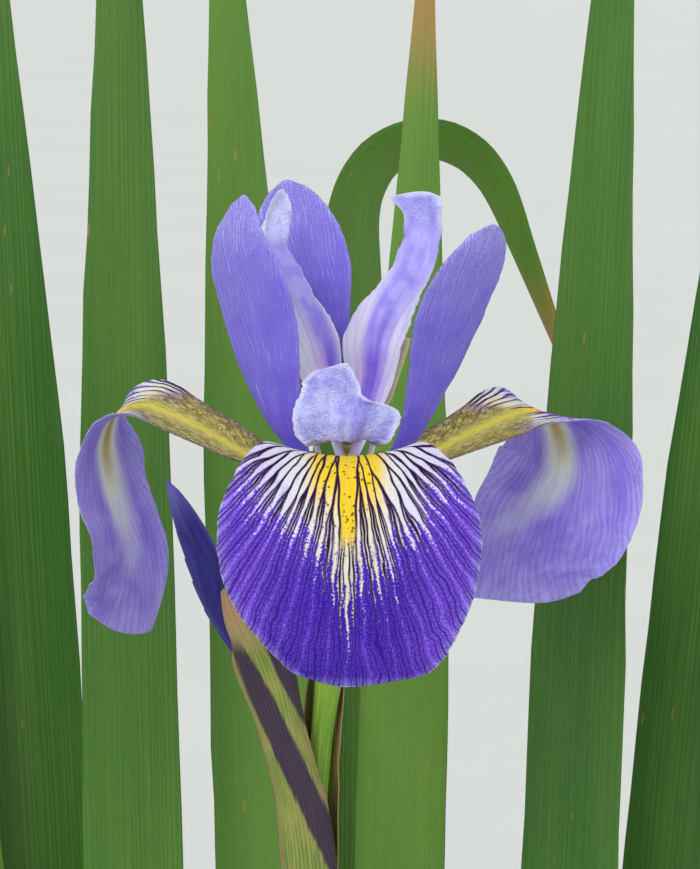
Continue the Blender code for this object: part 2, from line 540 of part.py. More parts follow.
def rhizome_solid(name, points, grow, top):
    """Lumpy rhizome with ring scars, flat on top where the leaves stand. Grow adds to its radius."""
    share = np.linspace(-1, 1, len(points))
    radius = RHIZOME_RADIUS * np.clip(1 - share**8, 0.45, 1) * (1 + 0.06 * np.cos(share * 7 * np.pi)) + grow
    tangent = unit(np.gradient(points, axis=0))
    side = np.cross(tangent, UP)
    turn = np.linspace(0, 2 * np.pi, RHIZOME_SIDES, endpoint=False)[None, :, None]
    circle = side[:, None] * np.cos(turn) + UP * np.sin(turn)
    rings = points[:, None] + circle * radius[:, None, None]
    rings[0] -= tangent[0] * grow
    rings[-1] += tangent[-1] * grow
    rings[..., 2] = np.minimum(rings[..., 2], top)
    return add_mesh(name, *ringed(rings), (0.22, 0.13, 0.07), roughness=0.8)


def soil_and_rhizomes():
    """Soil that fills the pot to below its rim, with a bed for each rhizome."""
    top_radius = inner_radius(SOIL_TOP) - 2 * GAP
    profile = [(0, POT_WALL + GAP), (inner_radius(POT_WALL) - 2 * GAP, POT_WALL + GAP)]
    profile += [(top_radius * (1 - k / SOIL_RINGS), SOIL_TOP) for k in range(SOIL_RINGS)]
    profile += [(0, SOIL_TOP)]
    vertices, faces = turned(profile, POT_SEGMENTS)
    top = vertices[:, 2] > SOIL_TOP - GAP
    x, y = vertices[top, 0], vertices[top, 1]
    a, b, c, d = LUMP_WAVES
    lumps = np.sin(x * a) * np.cos(y * b + 1) + 0.6 * np.sin(x * c - y * d)
    vertices[top, 2] -= SOIL_LUMP * (1 + lumps * 0.6)
    soil = add_mesh("soil", vertices, faces, (0.05, 0.033, 0.022), roughness=0.95)
    beds = []
    for fan, (x, y), plane, leaves in FANS:
        reach = max(abs(leaf[0]) for leaf in leaves) * 2 * MM + LEAF_FOOT_WIDTH + 6 * MM
        points = rhizome_points(x, y, plane, reach)
        rhizome_solid(f"rhizome_{fan}", points, 0.0, SOIL_TOP + RHIZOME_CROWN)
        beds.append(rhizome_solid(f"bed_{fan}", points, GAP, SOIL_TOP + 4 * RHIZOME_CROWN))
    cut(soil, beds)


def head_rod(name, rows, colour, sides=10, roughness=0.5):
    """Rod of the flower head from rows of x, y, z and radius in mm, measured from the heart."""
    table = np.asarray(rows, float) * MM
    rod(name, table[:, :3] + HEART, table[:, 3], colour, sides, roughness=roughness)


def stamens():
    """Three stamens, each a thin filament that thickens into a long anther."""
    for name, azimuth, points in STAMENS:
        turn = math.radians(azimuth)
        outward = np.array([math.sin(turn), -math.cos(turn), 0.0])
        table = np.asarray(points, float) * MM
        path = table[:, :1] * outward + table[:, 1:] * UP + HEART
        radii = (FILAMENT_RADIUS,) * 3 + (ANTHER_RADIUS,) * 2
        rod(name, path, radii, (0.8, 0.75, 0.6), sides=6)


def stalk():
    """Flower stalk with a slight bend, and the two short leaves that grow on it."""
    foot = np.array([*STALK_FOOT, LEAF_FOOT])
    points = np.array([foot, foot + UP * STALK_STRAIGHT, (foot + STALK_TOP) / 2 + STALK_BEND,
                       STALK_TOP - UP * STALK_STRAIGHT, STALK_TOP])
    radii = np.linspace(*STALK_RADII, len(points))
    rod("flower_stalk", points, radii, (0.13, 0.2, 0.07), sides=8, rings=STALK_RINGS)
    heights = points[:, 2]
    for name, height, side, length, width, lean in STALK_LEAVES:
        centre = smooth(heights, points, [height])[0]
        start = centre + np.array([side * (STALK_RADII[0] + 2 * GAP + width / 2), 0, 0])
        s = np.linspace(0, 1, STALK_LEAF_RINGS)
        tilt = np.radians(lean) * s**0.5
        path = start + np.stack((side * np.tan(tilt) * s, 0 * s, s), 1) * length
        widths = width * np.clip(1 - s**2.2, TIP_LEAST, 1)
        thickness = STALK_LEAF_THICKNESS * (1 - 0.6 * s)
        blade(name, path, np.array([[1.0, 0.0, 0.0]]), widths, thickness, (0.16, 0.3, 0.08))


def flower():
    """Everything above the stalk."""
    head_rod("ovary_stalk", OVARY_STALK, (0.22, 0.4, 0.08))
    head_rod("perianth_tube", PERIANTH_TUBE, (0.25, 0.3, 0.3))
    head_rod("bud", BUD, (0.05, 0.04, 0.25))
    head_rod("style_column", STYLE_COLUMN, (0.55, 0.5, 0.75), sides=8)
    valve("spathe_valve_front", VALVE_FRONT, -1, (0.3, 0.32, 0.1))
    valve("spathe_valve_rear", VALVE_REAR, 1, (0.25, 0.42, 0.06))
    petals(FALLS, (0.13, 0.05, 0.5), FALL_COLUMNS)
    petals(STANDARDS, (0.25, 0.18, 0.7))
    petals(STYLE_ARMS, (0.6, 0.58, 0.9))
    stamens()


def main():
    """Whole plant in its pot."""
    clear_scene()
    pot()
    soil_and_rhizomes()
    fans()
    stalk()
    flower()


main()
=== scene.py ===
"""Looks of a potted iris in flower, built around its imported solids.

The tables repeat the plant's own measures in millimetres, and every mesh is in metres. The flower's heart
is the top of its perianth tube. A petal's measures are taken along its spine and across it.
"""

import logging
import math
from collections.abc import Callable, Sequence
from dataclasses import dataclass, field
from enum import Enum
from typing import TypeAlias

import bpy
import numpy as np
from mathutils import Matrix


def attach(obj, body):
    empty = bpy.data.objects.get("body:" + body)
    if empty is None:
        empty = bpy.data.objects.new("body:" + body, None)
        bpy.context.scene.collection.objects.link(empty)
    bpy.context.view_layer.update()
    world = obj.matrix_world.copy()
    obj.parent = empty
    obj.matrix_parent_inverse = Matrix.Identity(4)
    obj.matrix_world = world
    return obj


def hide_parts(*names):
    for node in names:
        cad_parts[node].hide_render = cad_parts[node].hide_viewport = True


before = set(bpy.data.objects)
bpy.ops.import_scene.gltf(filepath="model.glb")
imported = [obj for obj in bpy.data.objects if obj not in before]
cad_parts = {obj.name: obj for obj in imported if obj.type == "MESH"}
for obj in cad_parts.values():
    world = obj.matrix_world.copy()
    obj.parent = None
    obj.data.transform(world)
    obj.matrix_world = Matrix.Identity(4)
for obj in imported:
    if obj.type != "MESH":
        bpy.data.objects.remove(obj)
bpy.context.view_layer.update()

Array = np.ndarray
Table = tuple[tuple[float, ...], ...]
Colour = tuple[float, float, float]
Number: TypeAlias = "Term | float"
Tint: TypeAlias = "Term | Colour"

log = logging.getLogger("iris")

MM = 0.001
UP = np.array([0.0, 0.0, 1.0])
HEART = np.array([0.0, -18.0, 660.0])
MIXING = (73856093, 19349663, 83492791)


# Curves, noise and fields


def smooth(stations: Sequence[float], values: Array, where: Array) -> Array:
    """Values read on cubic pieces through stations.

    The slope at a station is the mean of the slopes on either side, each weighted by the other side's
    length, and a piece is the cubic that has the two slopes at its ends.

    Args:
        stations: rising positions of the known values.
        values: one row for each station.
        where: positions to read.

    Returns:
        One row for each position.
    """
    s = np.asarray(stations, float)
    p = np.asarray(values, float).reshape(len(s), -1)
    step = np.diff(s)[:, None]
    slope = np.diff(p, axis=0) / step
    tangent = np.concatenate((slope[:1], slope[:1], slope[1:]))[: len(s)]
    tangent[-1] = slope[-1]
    tangent[1:-1] = (slope[:-1] * step[1:] + slope[1:] * step[:-1]) / (step[:-1] + step[1:])
    i = np.clip(np.searchsorted(s, where, side="right") - 1, 0, len(s) - 2)
    length = step[i]
    x = (np.asarray(where, float)[:, None] - s[i][:, None]) / length
    near, far = (1 + 2 * x) * (1 - x) ** 2, x * x * (3 - 2 * x)
    return near * p[i] + far * p[i + 1] + length * x * (1 - x) * ((1 - x) * tangent[i] - x * tangent[i + 1])


def read_table(table: Table, where: Array) -> Array:
    """Rows of a table read at positions by its first column, which is left out."""
    return smooth([row[0] for row in table], np.array([row[1:] for row in table]), where)


def distances(points: Array) -> Array:
    """Distance walked from the first point to each point."""
    steps = np.linalg.norm(np.diff(np.asarray(points, float), axis=0), axis=1)
    return np.concatenate(([0.0], np.cumsum(steps)))


def unit(vectors: Array) -> Array:
    """Vectors at length 1."""
    return vectors / np.maximum(np.linalg.norm(vectors, axis=-1, keepdims=True), 1e-12)


def across(tangent: Array, hint: Array) -> Array:
    """Side vectors square to the tangents and nearest to the hint."""
    return unit(hint - (hint * tangent).sum(axis=-1, keepdims=True) * tangent)


def eased(values: Array, start: float, end: float) -> Array:
    """Smooth step from 0 at the start to 1 at the end."""
    x = np.clip((values - start) / (end - start), 0, 1)
    return x * x * (3 - 2 * x)


def cell_value(cell: Array, seed: int) -> Array:
    """Value from 0 to 1 for each whole cell, mixed from its three numbers and the seed.

    Args:
        cell: three whole numbers for each cell.
        seed: which set of values.

    Returns:
        One value for each cell.
    """
    x = cell.astype(np.int64) * MIXING
    mixed = x[..., 0] ^ x[..., 1] ^ x[..., 2] ^ (seed * 9973 + 17)
    mixed = ((mixed ^ (mixed >> 11)) & 0xFFFFFFF) * 1274126177
    return ((mixed ^ (mixed >> 15)) & 0xFFFF) / 65535.0


def noise(points: Array, seed: int = 0) -> Array:
    """Smooth noise from -1 to 1: the values of the eight lattice corners round a point, blended by
    eased shares.

    Args:
        points: positions in lattice steps, three numbers each.
        seed: which noise.

    Returns:
        One number for each point.
    """
    base = np.floor(points)
    part = points - base
    part = part * part * (3 - 2 * part)
    total = np.zeros(points.shape[:-1])
    for corner in np.ndindex(2, 2, 2):
        share = np.prod(np.where(np.array(corner) == 1, part, 1 - part), axis=-1)
        total += share * cell_value(base + np.array(corner), seed)
    return total * 2 - 1


def layered(points: Array, layers: int, seed: int) -> Array:
    """Noise added up in layers, each twice as fine and half as strong as the one before."""
    return sum(noise(points * 2**k, seed + k) / 2**k for k in range(layers))


def cells(points: Array, seed: int = 0) -> Array:
    """Distance from each point to the nearest of the spots scattered one to a lattice cell.

    Args:
        points: positions in lattice steps, three numbers each.
        seed: which scatter.

    Returns:
        One distance for each point.
    """
    base = np.floor(points)
    best = np.full(points.shape[:-1], 9.0)
    for corner in np.ndindex(3, 3, 3):
        cell = base + np.array(corner) - 1
        spot = cell + np.stack([cell_value(cell, seed + axis) for axis in range(3)], axis=-1)
        best = np.minimum(best, np.linalg.norm(points - spot, axis=-1))
    return best


def level_directions(degrees: float) -> tuple[Array, Array]:
    """Level direction at an angle from X, and the one a quarter turn further on."""
    turn = math.radians(degrees)
    return np.array([math.cos(turn), math.sin(turn), 0.0]), np.array([-math.sin(turn), math.cos(turn), 0.0])


def along_points(rows: Array, share: Array) -> tuple[Array, float]:
    """Rows read on a smooth way through their points."""
    walked = distances(rows[:, :3])
    return smooth(walked / walked[-1], rows, share), walked[-1]


def from_heart(points: Array) -> Array:
    """Points in metres, from points in millimetres from the flower's heart."""
    return points * MM + HEART * MM


# Skins


@dataclass
class Skin:
    """Surface that is ready to become a mesh.

    Points are in metres, faces index the points, and each field holds three numbers for each point,
    which a material reads as an attribute.
    """

    points: Array
    quads: Array
    triangles: Array = field(default_factory=lambda: np.zeros((0, 3), int))
    fields: dict[str, Array] = field(default_factory=dict)

    def turned_outwards(self) -> "Skin":
        """Turns the faces to point out. A sixth of the sum of each corner's triple product is the volume,
        which is negative on a skin that is inside out.

        Returns:
            The same skin.
        """
        q = self.points[self.quads]
        t = self.points[self.triangles]
        volume = sum(np.einsum("ij,ij->i", a, np.cross(b, c)).sum() for a, b, c in (
            (q[:, 0], q[:, 1], q[:, 2]), (q[:, 0], q[:, 2], q[:, 3]), (t[:, 0], t[:, 1], t[:, 2])))
        if volume < 0:
            self.quads, self.triangles = self.quads[:, ::-1], self.triangles[:, ::-1]
        return self


def squares(index: Array) -> Array:
    """Quads between the neighbouring rows and columns of a grid of point numbers."""
    return np.stack((index[:-1, :-1], index[:-1, 1:], index[1:, 1:], index[1:, :-1]), -1).reshape(-1, 4)


def ring_faces(index: Array, first: int, last: int) -> tuple[Array, Array]:
    """Faces of closed rings with a fan of triangles over each end.

    Args:
        index: point numbers, rows by points round.
        first: number of the point in the middle of the first end.
        last: number of the point in the middle of the last end.

    Returns:
        Quads between the rings, and the triangles.
    """
    after = np.roll(index, -1, axis=1)
    quads = np.stack((index[:-1], after[:-1], after[1:], index[1:]), -1).reshape(-1, 4)
    fans = (np.stack((after[0], index[0], np.full(index.shape[1], first)), -1),
            np.stack((index[-1], after[-1], np.full(index.shape[1], last)), -1))
    return quads, np.concatenate(fans)


def sheet(grid: Array, thickness: Array | float, fields: dict[str, Array], under: str = "place") -> Skin:
    """Closed skin of a thin sheet: the grid moved half the thickness each way along its normal, which
    is the cross product of its two gradients, and a strip round the edge.

    Args:
        grid: rows by columns of points in metres.
        thickness: metres, one number or one for each point.
        fields: three numbers for each grid point, by name.
        under: field whose last number is set to 0 on the upper side and 1 on the lower side.

    Returns:
        The skin.
    """
    rows, columns = grid.shape[:2]
    normal = unit(np.cross(np.gradient(grid, axis=0), np.gradient(grid, axis=1)))
    offset = normal * (np.broadcast_to(thickness, (rows, columns))[..., None] / 2)
    near = np.arange(rows * columns).reshape(rows, columns)
    far = near + rows * columns
    edge, facing = [
        np.concatenate((side[0, :], side[1:, -1], side[-1, -2::-1], side[-2:0:-1, 0]))
        for side in (near, far)]
    strip = np.stack((np.roll(edge, -1), edge, facing, np.roll(facing, -1)), -1)
    both = {name: np.concatenate((values.reshape(-1, 3),) * 2) for name, values in fields.items()}
    if under in both:
        both[under][:, 2] = np.repeat((0.0, 1.0), rows * columns)
    points = np.concatenate(((grid + offset).reshape(-1, 3), (grid - offset).reshape(-1, 3)))
    quads = np.concatenate((squares(near), squares(far[:, ::-1]), strip))
    return Skin(points, quads, fields=both).turned_outwards()


def tube(rings: Array, fields: dict[str, Array]) -> Skin:
    """Closed skin through rings of points, with a fan of triangles over each end.

    Args:
        rings: rows by points round, in metres.
        fields: three numbers for each ring point, by name.

    Returns:
        The skin.
    """
    def capped(values: Array) -> Array:
        """All rings in one list, then the means of the first and of the last."""
        return np.concatenate((values.reshape(-1, 3), values[0].mean(0)[None], values[-1].mean(0)[None]))

    rows, around = rings.shape[:2]
    index = np.arange(rows * around).reshape(rows, around)
    quads, ends = ring_faces(index, rows * around, rows * around + 1)
    capped_fields = {name: capped(values) for name, values in fields.items()}
    return Skin(capped(rings), quads, ends, capped_fields).turned_outwards()


def around_path(path: Array, radius: Array, turn: Array, hint: Sequence[float] = (1, 0, 0)) -> Array:
    """Rings round a path: at each point the radius times the cosine and sine of the turn along two
    directions square to the path. The first and last rings are level.

    Args:
        path: points in metres.
        radius: metres, one row for each point and one column for each turn.
        turn: angles round the path.
        hint: direction where the turn starts.

    Returns:
        Rings of points in metres.
    """
    tangent = unit(np.gradient(path, axis=0))
    tangent[0] = tangent[-1] = UP
    first = across(tangent, np.array([hint], float))
    second = np.cross(tangent, first)
    circle = first[:, None] * np.cos(turn)[None, :, None] + second[:, None] * np.sin(turn)[None, :, None]
    return path[:, None] + circle * radius[..., None]


def full_turn(count: int) -> Array:
    """Angles that share a full turn."""
    return np.linspace(0, 2 * np.pi, count, endpoint=False)


def grid_field(first: Array, second: Array, third: Array | float = 0.0) -> Array:
    """Three grids of numbers as one field."""
    return np.stack(np.broadcast_arrays(first, second, third), axis=-1).astype(float)


def placed(name: str, data: bpy.types.ID) -> bpy.types.Object:
    """New object with its data, linked into the scene.

    Args:
        name: the object's name.
        data: its mesh, camera or light.

    Returns:
        The object.
    """
    item = bpy.data.objects.new(name, data)
    bpy.context.scene.collection.objects.link(item)
    return item


def plain_item(skin: Skin) -> bpy.types.Object:
    """Undressed object with a skin's shape.

    Args:
        skin: the surface.

    Returns:
        The object.
    """
    mesh = bpy.data.meshes.new("plain")
    mesh.from_pydata(skin.points.tolist(), [], skin.quads.tolist() + skin.triangles.tolist())
    return placed("plain", mesh)


def add_piece(name: str, skin: Skin, material: bpy.types.Material, nodes: Sequence[str],
              crease: float | None = None) -> None:
    """Puts a skin into the scene as a piece that rides on the plant and stands for CAD nodes.

    Args:
        name: the piece's name.
        skin: its surface.
        material: its finish.
        nodes: CAD nodes that it stands for.
        crease: angle in degrees above which an edge is drawn sharp.
    """
    item = plain_item(skin)
    mesh = item.data
    item.name = mesh.name = name
    mesh.polygons.foreach_set("use_smooth", np.ones(len(mesh.polygons), bool))
    if crease:
        mesh.set_sharp_from_angle(angle=math.radians(crease))
    for label, values in skin.fields.items():
        mesh.attributes.new(label, "FLOAT_VECTOR", "POINT").data.foreach_set("vector", values.ravel())
    mesh.materials.append(material)
    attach(item, "root")
    if nodes:
        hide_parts(*nodes)
    log.info("%s: %d faces", name, len(mesh.polygons))


# Material graphs


def paint(red: int, green: int, blue: int) -> Colour:
    """Linear colour from screen values of 0 to 255."""
    return tuple(c / 12.92 if c <= 0.04045 else ((c + 0.055) / 1.055) ** 2.4
                 for c in (red / 255, green / 255, blue / 255))


class Term:
    """Number, vector or colour that flows out of a node. Arithmetic on it adds Math nodes."""

    def __init__(self, graph: "Graph", socket: bpy.types.NodeSocket) -> None:
        """Keeps the graph and the socket."""
        self.graph = graph
        self.socket = socket

    def __add__(self, other: Number) -> "Term":
        """Sum."""
        return self.graph.math("ADD", self, other)

    def __sub__(self, other: Number) -> "Term":
        """Difference."""
        return self.graph.math("SUBTRACT", self, other)

    def __rsub__(self, other: float) -> "Term":
        """Difference from a number."""
        return self.graph.math("SUBTRACT", other, self)

    def __mul__(self, other: Number) -> "Term":
        """Product."""
        return self.graph.math("MULTIPLY", self, other)

    def __truediv__(self, other: Number) -> "Term":
        """Quotient."""
        return self.graph.math("DIVIDE", self, other)

    __radd__ = __add__
    __rmul__ = __mul__

    def abs(self) -> "Term":
        """Size without sign."""
        return self.graph.math("ABSOLUTE", self)

    def floor(self) -> "Term":
        """Whole part."""
        return self.graph.math("FLOOR", self)

    def fract(self) -> "Term":
        """Part after the point."""
        return self.graph.math("FRACT", self)

    def most(self, other: Number) -> "Term":
        """Greater of the two."""
        return self.graph.math("MAXIMUM", self, other)

    def least(self, other: Number) -> "Term":
        """Lesser of the two."""
        return self.graph.math("MINIMUM", self, other)

    def held(self) -> "Term":
        """Held between 0 and 1."""
        return self.least(1.0).most(0.0)

    def from_half(self) -> "Term":
        """Distance of the part after the point from a half."""
        return (self.fract() - 0.5).abs()

    def rise(self, start: Number, end: Number) -> "Term":
        """Smooth step from 0 at the start to 1 at the end; it falls if the end is below the start."""
        inputs = {"Value": self, "From Min": start, "From Max": end}
        return self.graph.term("ShaderNodeMapRange", inputs, "Result", interpolation_type="SMOOTHSTEP")


class Graph:
    """A material's nodes, put together from terms."""

    def __init__(self, name: str) -> None:
        """Starts a material with one Principled shader.

        Args:
            name: the material's name.
        """
        self.material = bpy.data.materials.new(name)
        self.material.use_nodes = True
        self.tree = self.material.node_tree
        self.shader = self.tree.nodes["Principled BSDF"]

    def put(self, socket: bpy.types.NodeSocket, value: object) -> None:
        """Fills a socket.

        Args:
            socket: the socket.
            value: a term to link, or a plain number or colour to set.
        """
        if isinstance(value, Term):
            self.tree.links.new(value.socket, socket)
        elif isinstance(value, tuple) and socket.type == "RGBA":
            socket.default_value = (*value, 1.0)
        else:
            socket.default_value = value

    def term(self, kind: str, inputs: dict[int | str, object], output: int | str = 0,
             **settings: str) -> Term:
        """Output of a new node.

        Args:
            kind: type of the node.
            inputs: terms or plain values, by the name or number of their socket.
            output: name or number of the output.
            settings: the node's own settings.

        Returns:
            The output.
        """
        node = self.tree.nodes.new(kind)
        for name, value in settings.items():
            setattr(node, name, value)
        for name, value in inputs.items():
            self.put(node.inputs[name], value)
        return Term(self, node.outputs[output])

    def math(self, operation: str, *values: Number) -> Term:
        """Math node on one or more numbers."""
        return self.term("ShaderNodeMath", dict(enumerate(values)), operation=operation)

    def split(self, vector: Term) -> tuple[Term, Term, Term]:
        """Three numbers of a vector."""
        node = self.term("ShaderNodeSeparateXYZ", {0: vector}).socket.node
        return tuple(Term(self, socket) for socket in node.outputs)

    def field(self, name: str) -> tuple[Term, Term, Term]:
        """Three numbers of a piece's field."""
        return self.split(self.term("ShaderNodeAttribute", {}, "Vector", attribute_name=name))

    def place(self) -> Term:
        """Position in metres in the plant's frame."""
        return self.term("ShaderNodeTexCoord", {}, "Object")

    def vector(self, x: Number, y: Number, z: Number = 0.0) -> Term:
        """Vector from three numbers."""
        return self.term("ShaderNodeCombineXYZ", {0: x, 1: y, 2: z})

    def noise(self, where: Term, scale: float, detail: float = 2.0) -> Term:
        """Noise from 0 to 1, about 0.5."""
        return self.term("ShaderNodeTexNoise", {"Vector": where, "Scale": scale, "Detail": detail})

    def cloud(self, *where: Number, scale: float = 1.0, detail: float = 2.0) -> Term:
        """Noise of two or three numbers."""
        return self.noise(self.vector(*where), scale, detail)

    def stray(self, value: Term, amount: float, *where: Number, detail: float = 2.0) -> Term:
        """Value moved by noise of two or three numbers, by up to half the amount each way."""
        return value + (self.cloud(*where, detail=detail) - 0.5) * amount

    def spots(self, where: Term, scale: float) -> Term:
        """Distance to the nearest of scattered spots."""
        return self.term("ShaderNodeTexVoronoi", {"Vector": where, "Scale": scale}, "Distance")

    def chance(self, value: Term) -> Term:
        """Random number from 0 to 1 that is the same for the same value."""
        return self.term("ShaderNodeTexWhiteNoise", {"W": value}, "Value", noise_dimensions="1D")

    def mix(self, base: Tint, top: Tint, share: Number) -> Term:
        """Colour between two colours."""
        return self.term("ShaderNodeMix", {0: share, 6: base, 7: top}, 2, data_type="RGBA")

    def layers(self, base: Tint, *tops: tuple[Tint, Number]) -> Term:
        """Colour with others laid over it one by one.

        Args:
            base: colour under them.
            tops: each further colour and its share.

        Returns:
            The colour on top.
        """
        for top, share in tops:
            base = self.mix(base, top, share)
        return base

    def bump(self, *heights: tuple[Term, float]) -> None:
        """Bumps the surface.

        Args:
            heights: terms from 0 to 1, each with its real depth in metres.
        """
        total = sum((height * (depth / MM) for height, depth in heights[1:]),
                    heights[0][0] * (heights[0][1] / MM))
        normal = self.term("ShaderNodeBump", {"Distance": MM, "Height": total})
        self.put(self.shader.inputs["Normal"], normal)

    def finish(self, colour: Term, roughness: Number, sheen: float = 0.0, glow: float = 0.0,
               gloss: float = 0.5) -> bpy.types.Material:
        """Sets the shader and gives the material.

        Args:
            colour: surface colour.
            roughness: surface roughness.
            sheen: share of velvet sheen.
            glow: share of light that spreads inside, as in a petal.
            gloss: specular level.

        Returns:
            The material.
        """
        self.put(self.shader.inputs["Base Color"], colour)
        self.put(self.shader.inputs["Roughness"], roughness)
        self.shader.inputs["Specular IOR Level"].default_value = gloss
        self.shader.inputs["Sheen Weight"].default_value = sheen
        self.shader.inputs["Sheen Roughness"].default_value = 0.4
        if glow:
            self.shader.inputs["Subsurface Weight"].default_value = glow
            self.shader.inputs["Subsurface Radius"].default_value = (1.0, 0.8, 1.0)
            self.shader.inputs["Subsurface Scale"].default_value = 1.2 * MM
        return self.material


def branched(graph: Graph, lane: Term, run: Term, spacing: Term, starts: Sequence[float]) -> Term:
    """Distance in millimetres to the nearest vein of a set that forks as it runs.

    Veins stand at whole lanes. Past each start every vein parts in two, which move to a quarter, then an
    eighth of a lane on either side, so the distance is folded once more by that much. A vein forks a
    little before or after its neighbour.

    Args:
        graph: the material.
        lane: lane number across the veins.
        run: distance along the veins in millimetres.
        spacing: width of a lane there in millimetres.
        starts: where each forking begins, in millimetres.

    Returns:
        The distance.
    """
    apart = (lane + 0.5).from_half()
    for level, start in enumerate(starts):
        sibling = graph.chance((lane * 2**level + 0.5).floor() + 31.0 * level)
        begin = sibling * 6.0 + (start - 3.0)
        apart = (apart - (run - begin).rise(0.0, 5.0) * (0.25 / 2**level)).abs()
    return apart * spacing


# Petals


SPINE_STEPS = 900
TIP_CROWDING = 1.15
MOUTH_FIT = 0.985
FAN_FROM, FAN_WIDENING = 12, 0.12
LOBE_ASIDE, LOBE_AT, LOBE_DRIFT = 1.4, 0.75, 12.0
SKIN_CELLS = 4200.0


class Veins(Enum):
    """How a petal's veins run: out of a narrow claw like a fountain, or up a blade like a fan."""

    FOUNTAIN = "fountain"
    FAN = "fan"


@dataclass
class Unfolded:
    """Petal's middle surface with its flat measures, each a grid of rows along it and columns across it.

    Points are in millimetres from the heart, and face is the direction of the petal's upper side. Share
    goes from 0 at the foot to 1 at the tip and edge from -1 to 1 across. Run and sideways are
    millimetres along and across, margin is the distance to the margin, and half the half width.
    """

    points: Array
    face: Array
    share: Array
    edge: Array
    run: Array
    sideways: Array
    margin: Array
    half: Array


